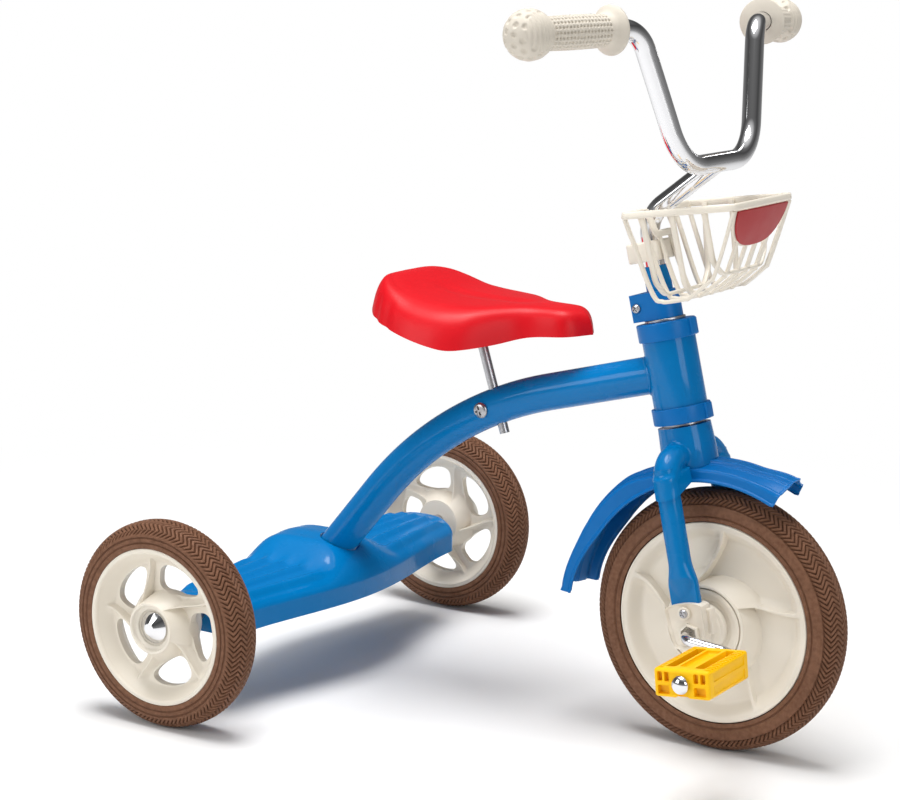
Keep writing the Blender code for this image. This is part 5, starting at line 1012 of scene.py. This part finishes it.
boss_outline = [(0.0021, 0.3603, 0), (0.0050, 0.3603, 0.0004), (0.0056, 0.3690, 0), (0.0021, 0.3690, 0)]
bosses = [turned("boss", boss_outline, 32, Matrix.Translation((post_top.x + way * 0.0190, 0, 0))) for way in (-1, 1)]
settle(joined("saddle_skin", [saddle_shell("saddle_skin")] + bosses), red, "seat", "saddle", angle=60.0)


# Steerer and clamp collar. The steel steerer turns in the head cups on plated washers; above the
# upper cup a split plastic collar, pulled tight by a cross screw, grips it.

STEERER_BORE = 0.0116
steerer_outline = [(0.0088, 0.1500, 0), (0.0113, 0.1500, 0), (0.0113, 0.3080, 0.0007), (0.0088, 0.3080, 0.0004)]
settle(turned("steerer_skin", steerer_outline, 64), paint, "steering", "steerer_tube", matrix=STEER)
for node, low, high in (("lower_washer", 0.1703, 0.1725), ("upper_washer", 0.2606, 0.2627)):
    washer = sleeve(node + "_skin", STEERER_BORE, 0.0176, low, high, 0.0005, 64)
    settle(washer, zinc, "steering", node, matrix=STEER)

COLLAR_LOW, COLLAR_HIGH = 0.2630, 0.2865
collar = rod("collar_skin", (0, 0, COLLAR_LOW), (0, 0, COLLAR_HIGH), 0.0160, 72)
cut(collar, block("collar_back", (-0.0220, -0.0160, COLLAR_LOW), (0.0, 0.0160, COLLAR_HIGH)), "UNION")
cut(collar, rod("collar_bore", (0, 0, 0.25), (0, 0, 0.30), STEERER_BORE, 64))
cut(collar, block("collar_split", (-0.03, -0.0015, 0.25), (-0.0105, 0.0015, 0.30)))
modify(collar, "BEVEL", width=0.0009, segments=3, limit_method="ANGLE")
settle(collar, blue_plastic, "steering", "stem_collar", matrix=STEER)
collar_screw_place = Matrix.Translation((-0.0167, -0.0163, 0.2748)) @ sideways(-1)
settle(screw_head("collar_screw_head", 0.0040, 0.0024, collar_screw_place, 0.004), zinc, "steering", "collar_screw",
       matrix=STEER)


# Fender. An arched strip moulded in blue plastic, with a raised band along its middle, turned-down
# edges and a small lip across each end; it is clamped between the crown and a screw from below.

FENDER_FRAME = Matrix.Translation(FRONT_AXLE)
FENDER_START, FENDER_END = math.radians(63.5), math.radians(177.5)
# Half of the strip's section from its edge to its middle: distance from the middle, lift above the
# mean line, and 1 for the points that belong to the turned-down edge.
HALF_SECTION = spline([
    (0.0250, 0.0000, 1), (0.0259, 0.0002, 1), (0.0263, 0.0012, 1), (0.0259, 0.0022, 1), (0.0250, 0.0028, 1),
    (0.0247, 0.0042, 1), (0.0245, -0.0052, 0), (0.0241, -0.0038, 0), (0.0233, -0.0027, 0), (0.0224, -0.0022, 0),
    (0.0214, -0.0024, 0), (0.0206, -0.0030, 0), (0.0196, -0.0030, 0), (0.0165, -0.0022, 0), (0.0125, -0.0012, 0),
    (0.0104, -0.0008, 0), (0.0098, 0.0000, 0), (0.0091, 0.0002, 0), (0.0085, 0.0004, 0), (0.0079, 0.0018, 0),
    (0.0071, 0.0030, 0), (0.0062, 0.0030, 0), (0.0054, 0.0024, 0), (0.0025, 0.0026, 0), (0.0, 0.0026, 0)], 3)


def fender_section(angle, grow=0.0):
    """Outline across the strip at an angle about the front axle, as (y, radius)."""
    turn = math.degrees(angle)
    arch = smooth(turn, [(63.5, 0.0060), (78.0, 0.0)])
    top = smooth(turn, [(112.0, 0.0), (130.0, 0.0052), (155.0, 0.0056), (177.5, 0.0100)])
    low = smooth(turn, [(145.0, 0.0), (177.5, 0.0095)])
    half = []
    for y, lift, share in HALF_SECTION:
        crown = 0.1370 + lift + top + arch * (1 - (y / 0.0250) ** 2)
        half.append(Vector((y, crown * (1 - share) + (0.1236 + lift + low) * share)))
    line = half + [Vector((-p.x, p.y)) for p in half[-2::-1]]
    moved = []
    for i, point in enumerate(line):
        ahead = line[min(i + 1, len(line) - 1)] - line[max(i - 1, 0)]
        moved.append(point + Vector((ahead.y, -ahead.x)).normalized() * grow)
    return moved


def fender_skin(name, start, end, steps, grow=0.0, inner=None):
    """The strip between two angles; with an inner radius it is a solid down to there, without edges."""
    rows = []
    for k in range(steps + 1):
        angle = start + (end - start) * k / steps
        near_end = min(angle - FENDER_START, FENDER_END - angle) * 0.137
        lip = 0.0011 * smooth(near_end, [(0.0, 1.0), (0.0036, 0.0)])
        line = [Vector((y, r + lip)) for y, r in fender_section(angle, grow)]
        if inner:
            line = [Vector((line[15].x, inner))] + line[15:-15] + [Vector((line[-16].x, inner))]
        rows.append([Vector((r * math.cos(angle), y, r * math.sin(angle))) for y, r in line])
    return ring_grid(name, rows, capped=True) if inner else sheet_of(name, rows)


fender = faced(fender_skin("fender_skin", FENDER_START, FENDER_END, 220),
               lambda centre: Vector((centre.x, 0, centre.z)))
modify(fender, "SOLIDIFY", thickness=0.0011, offset=-1.0)
settle(fender, blue_plastic, "steering", "fender", angle=40.0, matrix=FENDER_FRAME)
kept(zinc, "fender_screw")


# Fork. A crown column carries the steerer, and two tubes leave it sideways, turn down past the
# wheel and are pressed flat at the foot; all of it is welded steel in the frame's blue.

def swept(name, line, sections, side, around, square=2.0):
    """A bar along a line; each section is (half size along the side vector, half size across it)."""
    side = Vector(side)
    rows = []
    for i, point in enumerate(line):
        ahead = (line[min(i + 1, len(line) - 1)] - line[max(i - 1, 0)]).normalized()
        side = (side - ahead * side.dot(ahead)).normalized()
        over = ahead.cross(side)
        row = []
        for k in range(around):
            angle = math.tau * (k + 0.5) / around
            c, s = math.cos(angle), math.sin(angle)
            size = (abs(c) ** square + abs(s) ** square) ** (-1 / square)
            row.append(point + side * sections[i][0] * c * size + over * sections[i][1] * s * size)
        rows.append(row)
    return ring_grid(name, rows, capped=True)


def refined(line, spacing=0.0015):
    """The same line with more points on its long stretches."""
    fine = []
    for a, b in zip(line, line[1:]):
        count = max(1, int((b - a).length / spacing))
        fine += [a.lerp(b, i / count) for i in range(count)]
    return fine + [line[-1]]


LEG_Y, FOOT_Y, LEG_BEND = 0.0492, 0.0520, 0.0230
column_outline = [(0.0, 0.1180, 0), (0.0240, 0.1180, 0), (0.0240, 0.1500, 0), (0.0226, 0.1760, 0), (0.0, 0.1760, 0)]
parts = [turned("column", column_outline, 96)]
for _, sign in SIDES:
    course = [(0, sign * 0.0120, 0.1465), (0, sign * 0.0475, 0.1465), (0, sign * LEG_Y, 0.1040)]
    line = refined(bent_line(course, LEG_BEND, 24), 0.0015)
    parts.append(swept("shoulder_tube", line, [(0.0115, 0.0115)] * len(line), (1, 0, 0), 48))
    corners = [(0.0115 * math.cos(a), sign * (0.0485 + 0.0115 * math.sin(a)), z)
               for a in (math.tau * i / 24 for i in range(24)) for z in (0.1060, 0.1330)]
    corners += [(x, sign * 0.0250, z) for x in (-0.0105, 0.0125) for z in (0.1100, 0.1375)]
    web = fresh(bpy.ops.mesh.primitive_circle_add, "web", vertices=len(corners), radius=0.01)
    for vertex, corner in zip(web.data.vertices, corners):
        vertex.co = corner
    parts.append(in_edit(web, (bpy.ops.mesh.convex_hull, {})))
shroud = joined("fork_shroud", parts)
modify(shroud, "REMESH", mode="VOXEL", voxel_size=0.0008)
modify(shroud, "SMOOTH", factor=0.6, iterations=14)
# Trim the shroud: slanting from below, along the fender's top, and flat above.
for _, sign in SIDES:
    low, high = sorted((0.0, sign * 0.08))
    below = block("below", (-0.05, low, 0.0900), (0.05, high, 0.1200))
    for vertex in below.data.vertices:
        if vertex.co.z > 0.1:
            vertex.co.z = 0.1140 + (0.0610 - abs(vertex.co.y)) * 0.30
    cut(shroud, below)
cut(shroud, put(fender_skin("under_crown", math.radians(76), math.radians(134), 80, 0.0003, 0.0900),
                STEER.inverted() @ FENDER_FRAME))
cut(shroud, block("over", (-0.05, -0.08, 0.1700), (0.05, 0.08, 0.2000)))
modify(shroud, "BEVEL", width=0.0007, segments=3, limit_method="ANGLE", angle_limit=math.radians(55))
settle(shroud, paint, "steering", "fork_crown", angle=50.0, matrix=STEER)

for side, sign in SIDES:
    course = [(0, sign * 0.0475, 0.1400), (0, sign * LEG_Y, 0.1000), (0, sign * FOOT_Y, 0.0085)]
    line = refined(bent_line(course, LEG_BEND, 6), 0.0008)
    sections = [(smooth(p.z, [(0.0400, 0.0135), (0.0620, 0.0098)]), 0.0098) for p in line]
    leg = swept("leg_skin_" + side, line, sections, (1, 0, 0), 64)
    for vertex in leg.data.vertices:
        x, y, z = vertex.co
        middle = sign * (FOOT_Y - (z - 0.0085) * 0.0306)
        fold = 0.0305 + 0.0150 * min(1.0, abs(x) / 0.0120) ** 2.2
        limit = 0.0036 + max(0.0, z - fold) * 0.34
        vertex.co.y = middle + max(-limit, min(limit, y - middle))
    settle(leg, paint, "steering", "fork_leg_" + side, angle=24.0, matrix=STEER)


# Axle blocks. A cream moulding slides over the flat foot of each leg, is held by a small screw, and
# carries the crank in a bored boss behind a hexagon mouth.

shape = [(0.0175 * math.cos(a), 0.0225 + 0.0045 * math.sin(a)) for a in (math.pi * i / 24 for i in range(25))]
shape += [(-0.0170, 0.0080), (-0.0144, -0.0080), (-0.0124, -0.0110),
          (0.0124, -0.0110), (0.0144, -0.0080), (0.0170, 0.0080)]
boss_outline = [(0.0, 0.0303, 0), (0.0215, 0.0303, 0.0005), (0.0215, 0.0360, 0.0010), (0.0185, 0.0375, 0.0005),
                (0.0175, 0.0460, 0.0005), (0.0, 0.0500, 0)]
hex_rim_outline = [(0.0, 0.0560, 0), (0.0104, 0.0560, 0), (0.0100, 0.0606, 0.0005), (0.0, 0.0606, 0)]
hex_outline = [(0.0, 0.0552, 0), (0.0078, 0.0552, 0.0003), (0.0078, 0.0650, 0), (0.0, 0.0650, 0)]
screw_boss_outline = [(0.0, 0.0560, 0), (0.0058, 0.0560, 0), (0.0055, 0.0604, 0.0005), (0.0, 0.0604, 0)]
for side, sign in SIDES:
    base = extruded("block_skin_" + side, [(x, 0.0450 * sign, z) for x, z in shape], (0, 0.0150 * sign, 0),
                    (bpy.ops.mesh.inset, {"thickness": 0.0017}),
                    (bpy.ops.transform.translate, {"value": (0, -0.0026 * sign, 0)}))
    modify(base, "BEVEL", width=0.0005, segments=3, limit_method="ANGLE", angle_limit=math.radians(40))
    low, high = sorted((sign * 0.0420, sign * 0.0520))
    cut(base, block("shoulder", (-0.0205, low, -0.0020), (0.0205, high, 0.0195), 0.0012), "UNION")
    outward = Matrix.Translation((0.0010, 0, 0)) @ sideways(sign)
    flats = outward @ Matrix.Rotation(math.radians(30), 4, "Z")
    cut(base, turned("boss", boss_outline, 72, outward), "UNION")
    cut(base, turned("hex_rim", hex_rim_outline, 6, flats), "UNION")
    cut(base, turned("hex", hex_outline, 6, flats))
    cut(base, rod("bore", (0.0010, 0, 0), (0.0010, sign * 0.08, 0), 0.0050, 40))
    screw_place = Matrix.Translation((0, 0, 0.0185)) @ sideways(sign)
    cut(base, turned("screw_boss", screw_boss_outline, 40, screw_place), "UNION")
    settle(base, cream, "steering", "axle_block_" + side, matrix=STEER)
    head_place = screw_place @ Matrix.Translation((0, 0, 0.0604))
    screw = screw_head("block_screw_head_" + side, 0.0038, 0.0022, head_place, 0.003)
    settle(screw, zinc, "steering", "block_screw_" + side, matrix=STEER)


# Handlebar and stem. Two chromed steel tubes: the stem leans forward out of the steerer and is
# welded to the middle of the bar, which rises steeply and turns out to the grips.

BAR_RADIUS = 0.0083
# The bar's lower and upper left bends and the middle of the left grip's ball.
LOW = Vector((0.0743, 0.0627, 0.3838))
HIGH = Vector((0.0807, 0.1062, 0.4974))
BALL = Vector((0.0488, 0.2281, 0.5022))


def mirrored(point):
    return Vector((point.x, -point.y, point.z))


bar_end = BALL + (HIGH - BALL).normalized() * 0.006
bar_corners = [mirrored(bar_end), mirrored(HIGH), mirrored(LOW), LOW, HIGH, bar_end]
bar_line = bent_line(bar_corners, [0.0280, 0.0470, 0.0470, 0.0280], 28)
settle(pipe("bar_tube", bar_line, BAR_RADIUS, 16), chrome, "steering", "handlebar", matrix=STEER)
stem_line = bent_line([(0, 0, 0.2350), (0, 0, 0.3500), (0.0743, 0, 0.3838)], 0.0300, 28)
settle(pipe("stem_tube", stem_line, BAR_RADIUS, 16), chrome, "steering", "handlebar_stem", matrix=STEER)


# Grips. Soft cream mouldings: a dished flange, a handle covered in small pits, and a ball end with
# larger round dimples above and below and grooves before and behind.

GRIP_LENGTH, BALL_RADIUS, GRIP_SIDES = 0.0905, 0.0199, 160
DIMPLES, PITS_ROUND, PIT_ROWS, PIT_PITCH, PITS_START = 66, 20, 17, 0.0037, -0.0790


def pit(angle, height):
    """Depth of the handle's small pits."""
    u = (angle * PITS_ROUND / math.tau) % 1.0 - 0.5
    w = ((height - PITS_START) / PIT_PITCH) % 1.0 - 0.5
    return 0.0019 * smooth(math.hypot(u * 4.2, w * 3.7), [(0.6, 1.0), (1.45, 0.0)])


dimples = []
for k in range(DIMPLES):
    z = 1 - (2 * k + 1) / DIMPLES
    turn = math.pi * (3 - math.sqrt(5)) * k
    dimples.append(Vector((math.sqrt(1 - z * z) * math.cos(turn), math.sqrt(1 - z * z) * math.sin(turn), z)))


def ball_point(way):
    """Point of the ball end in a direction, sunk where a dimple or a groove lies."""
    near = min((way - centre).length for centre in dimples) * BALL_RADIUS
    fluted = smooth(abs(way.x), [(0.62, 0.0), (0.70, 1.0)])
    groove = 0.5 + 0.5 * math.cos(way.z * 34.0)
    down = 0.0015 * smooth(near, [(0.0014, 1.0), (0.0030, 0.0)]) * (1 - fluted) + 0.0010 * groove ** 1.5 * fluted
    return way * (BALL_RADIUS - down)


def grip(name, sign):
    angles = [math.tau * i / GRIP_SIDES for i in range(GRIP_SIDES)]
    rows = []
    for radius, rise in ((0.0086, 0.0), (0.0192, 0.0), (0.0198, 0.0004), (0.0200, 0.0012), (0.0198, 0.0022),
                         (0.0190, 0.0034), (0.0172, 0.0048), (0.0152, 0.0062), (0.0138, 0.0078), (0.0132, 0.0098)):
        rows.append([spot(radius, a, rise - GRIP_LENGTH) for a in angles])
    steps = 164
    for k in range(steps + 1):
        height = PITS_START + PIT_ROWS * PIT_PITCH * k / steps
        barrel = 0.0131 + 0.0005 * math.sin(math.pi * k / steps)
        rows.append([spot(barrel - pit(a, height), a, height) for a in angles])
    neck = math.asin(0.0124 / BALL_RADIUS)
    for k in range(72):
        polar = neck + (math.pi - neck) * k / 72
        rows.append([ball_point(spot(math.sin(polar), a, -math.cos(polar))) for a in angles])
    rows.append([Vector((0, 0, BALL_RADIUS - 0.0002))] * GRIP_SIDES)
    piece = ring_grid(name, rows)
    ball, corner = (BALL, HIGH) if sign > 0 else (mirrored(BALL), mirrored(HIGH))
    back = (corner - ball).normalized() * 0.0050
    along_end = (ball - corner).to_track_quat("Z", "Y").to_matrix().to_4x4()
    return put(piece, Matrix.Translation(ball + back) @ along_end)


# The same cream plastic as the wheels and basket, with its base colour darkened as painted shade, because the grips
# stand nearest the overhead lamp.
shade_darkened_cream = mottled("cream_with_painted_shade", (0.640, 0.590, 0.510), (0.590, 0.535, 0.455), (18.0, 4.0, 0.25, 0.75, 0.6),
                     (90.0, 3.0, 0.48, 0.16), (900.0, 2.0, 0.00010, 0.25), slot="cream_plastic", Roughness=0.55,
                     Specular_IOR_Level=0.25)
for side, sign in SIDES:
    settle(grip("grip_skin_" + side, sign), shade_darkened_cream, "steering", "grip_" + side, angle=60.0, matrix=STEER)


# Basket. One cream moulding of flat rounded bars, open at the top, with a band round its mouth that
# steps down behind to clear the stem; a block behind it clips it to the stem.

# The middle bar's course from the rear top down and round to the front top: distance ahead of the
# steerer, height, and how much wider than at the floor the bars stand there.
BASKET_ROWS = [(0.0097, 0.3560, 1.13), (0.0107, 0.3515, 1.12), (0.0130, 0.3370, 1.10), (0.0140, 0.3315, 1.09),
               (0.0197, 0.2965, 1.06), (0.0240, 0.2820, 1.04), (0.0285, 0.2795, 1.03), (0.0335, 0.2783, 1.03),
               (0.0500, 0.2782, 1.03), (0.0550, 0.2789, 1.02), (0.0745, 0.2892, 1.00), (0.0790, 0.2928, 0.99),
               (0.0925, 0.3150, 1.00), (0.1075, 0.3420, 1.03), (0.1095, 0.3455, 1.04)]
FLAT, BAND = (0.0025, 0.0016), (0.0030, 0.0016)
RIM_HALF, REAR_FLARE, FRONT_FLARE = 0.0540, 1.13, 1.04
SHIELD_THICKNESS = 0.0018


def basket_bar(name, line, half, side):
    fine = refined(line, 0.0020)
    return swept(name, fine, [half] * len(fine), side, 20, 3.2)


parts = []
for offset in (0.0090, 0.0285, 0.0515):
    for _, sign in SIDES:
        start = 3 if offset < 0.02 else 1
        line = [Vector((x, sign * offset * flare, z)) for x, z, flare in BASKET_ROWS[start:-1]]
        parts.append(basket_bar("bar", spline(line, 6), FLAT, (0, 1, 0)))
rear_top, front_top = Vector((0.0102, 0, 0.3545)), Vector((0.1100, 0, 0.3450))
floor_line = [Vector((x, z)) for x, z, _ in BASKET_ROWS[4:]]
for reach in (0.0235, 0.0500, 0.0790):
    share = (reach - rear_top.x) / (front_top.x - rear_top.x)
    height = rear_top.z + (front_top.z - rear_top.z) * share
    width = RIM_HALF * (REAR_FLARE + (FRONT_FLARE - REAR_FLARE) * share)
    floor_z = along(floor_line, reach)
    over = reach + 0.0030
    half_hoop = [(over, width - 0.0030, height), (over, width - 0.0036, height - 0.0060),
                 (reach, 0.0485, floor_z + 0.0120), (reach, 0.0360, floor_z)]
    line = [(x, -y, z) for x, y, z in half_hoop] + half_hoop[::-1]
    bends = [0.0020, 0.0140, 0.0140, 0.0140, 0.0140, 0.0020]
    parts.append(basket_bar("hoop", bent_line(line, bends, 8), FLAT, (1, 0, 0)))
half_band = [(0.0600, 0.0586, 0.3497), (0.0102, 0.0610, 0.3545), (0.0102, 0.0170, 0.3545), (0.0150, 0.0165, 0.3345)]
rear_band = half_band + [(x, -y, z) for x, y, z in half_band[::-1]]
parts.append(basket_bar("rim_rear", bent_line(rear_band, 0.0035, 8), BAND, (0, 0, 1)))
front_band = [(0.0600, -0.0586, 0.3497), (0.1100, -0.0562, 0.3450), (0.1100, 0.0562, 0.3450),
              (0.0600, 0.0586, 0.3497)]
parts.append(basket_bar("rim_front", bent_line(front_band, 0.0080, 12), BAND, (0, 0, 1)))


def shield(name, wide, low, back):
    """A plate with the panel's outline, lying on the front of the basket."""
    foot, top = Vector((0.0925, 0, 0.3150)), Vector((0.1075, 0, 0.3420))
    up = (top - foot).normalized()
    out = Vector((up.z, 0, -up.x))
    drop = (top - foot).length + low
    outline = [(wide, 0.0)]
    for a in (math.pi * i / 48 for i in range(1, 48)):
        outline.append((wide * math.copysign(abs(math.cos(a)) ** 0.7, math.cos(a)), -drop * math.sin(a) ** 1.1))
    outline.append((-wide, 0.0))
    points = [top + out * back + up * v + Vector((0, u, 0)) for u, v in outline]
    plate = extruded(name, points, out * SHIELD_THICKNESS)
    return modify(plate, "BEVEL", width=SHIELD_THICKNESS * 0.4, segments=3, limit_method="ANGLE",
                  angle_limit=math.radians(40))


parts.append(shield("panel_back", 0.0492, 0.0040, -0.0012))
settle(joined("basket_net", parts), cream, "steering", "basket", angle=50.0, matrix=STEER)

clip = block("clip_skin", (-0.0160, -0.0170, 0.3125), (0.0140, 0.0170, 0.3294), 0.0016)
cut(clip, rod("clip_bore", (0, 0, 0.30), (0, 0, 0.34), 0.0086, 48))
settle(clip, cream, "steering", "basket_clip", matrix=STEER)


# Panel. A small red shield, flat with rounded edges, pressed onto the front of the basket.

dull_red = mottled("panel_red", (0.400, 0.026, 0.028), (0.330, 0.020, 0.024), (30.0, 4.0, 0.3, 0.7, 0.7),
                   (60.0, 4.0, 0.34, 0.18), (1200.0, 3.0, 0.00010, 0.25), slot="red_plastic", Roughness=0.42,
                   Specular_IOR_Level=0.28)
settle(shield("panel_skin", 0.0475, 0.0024, 0.0008), dull_red, "steering", "basket_panel", matrix=STEER)
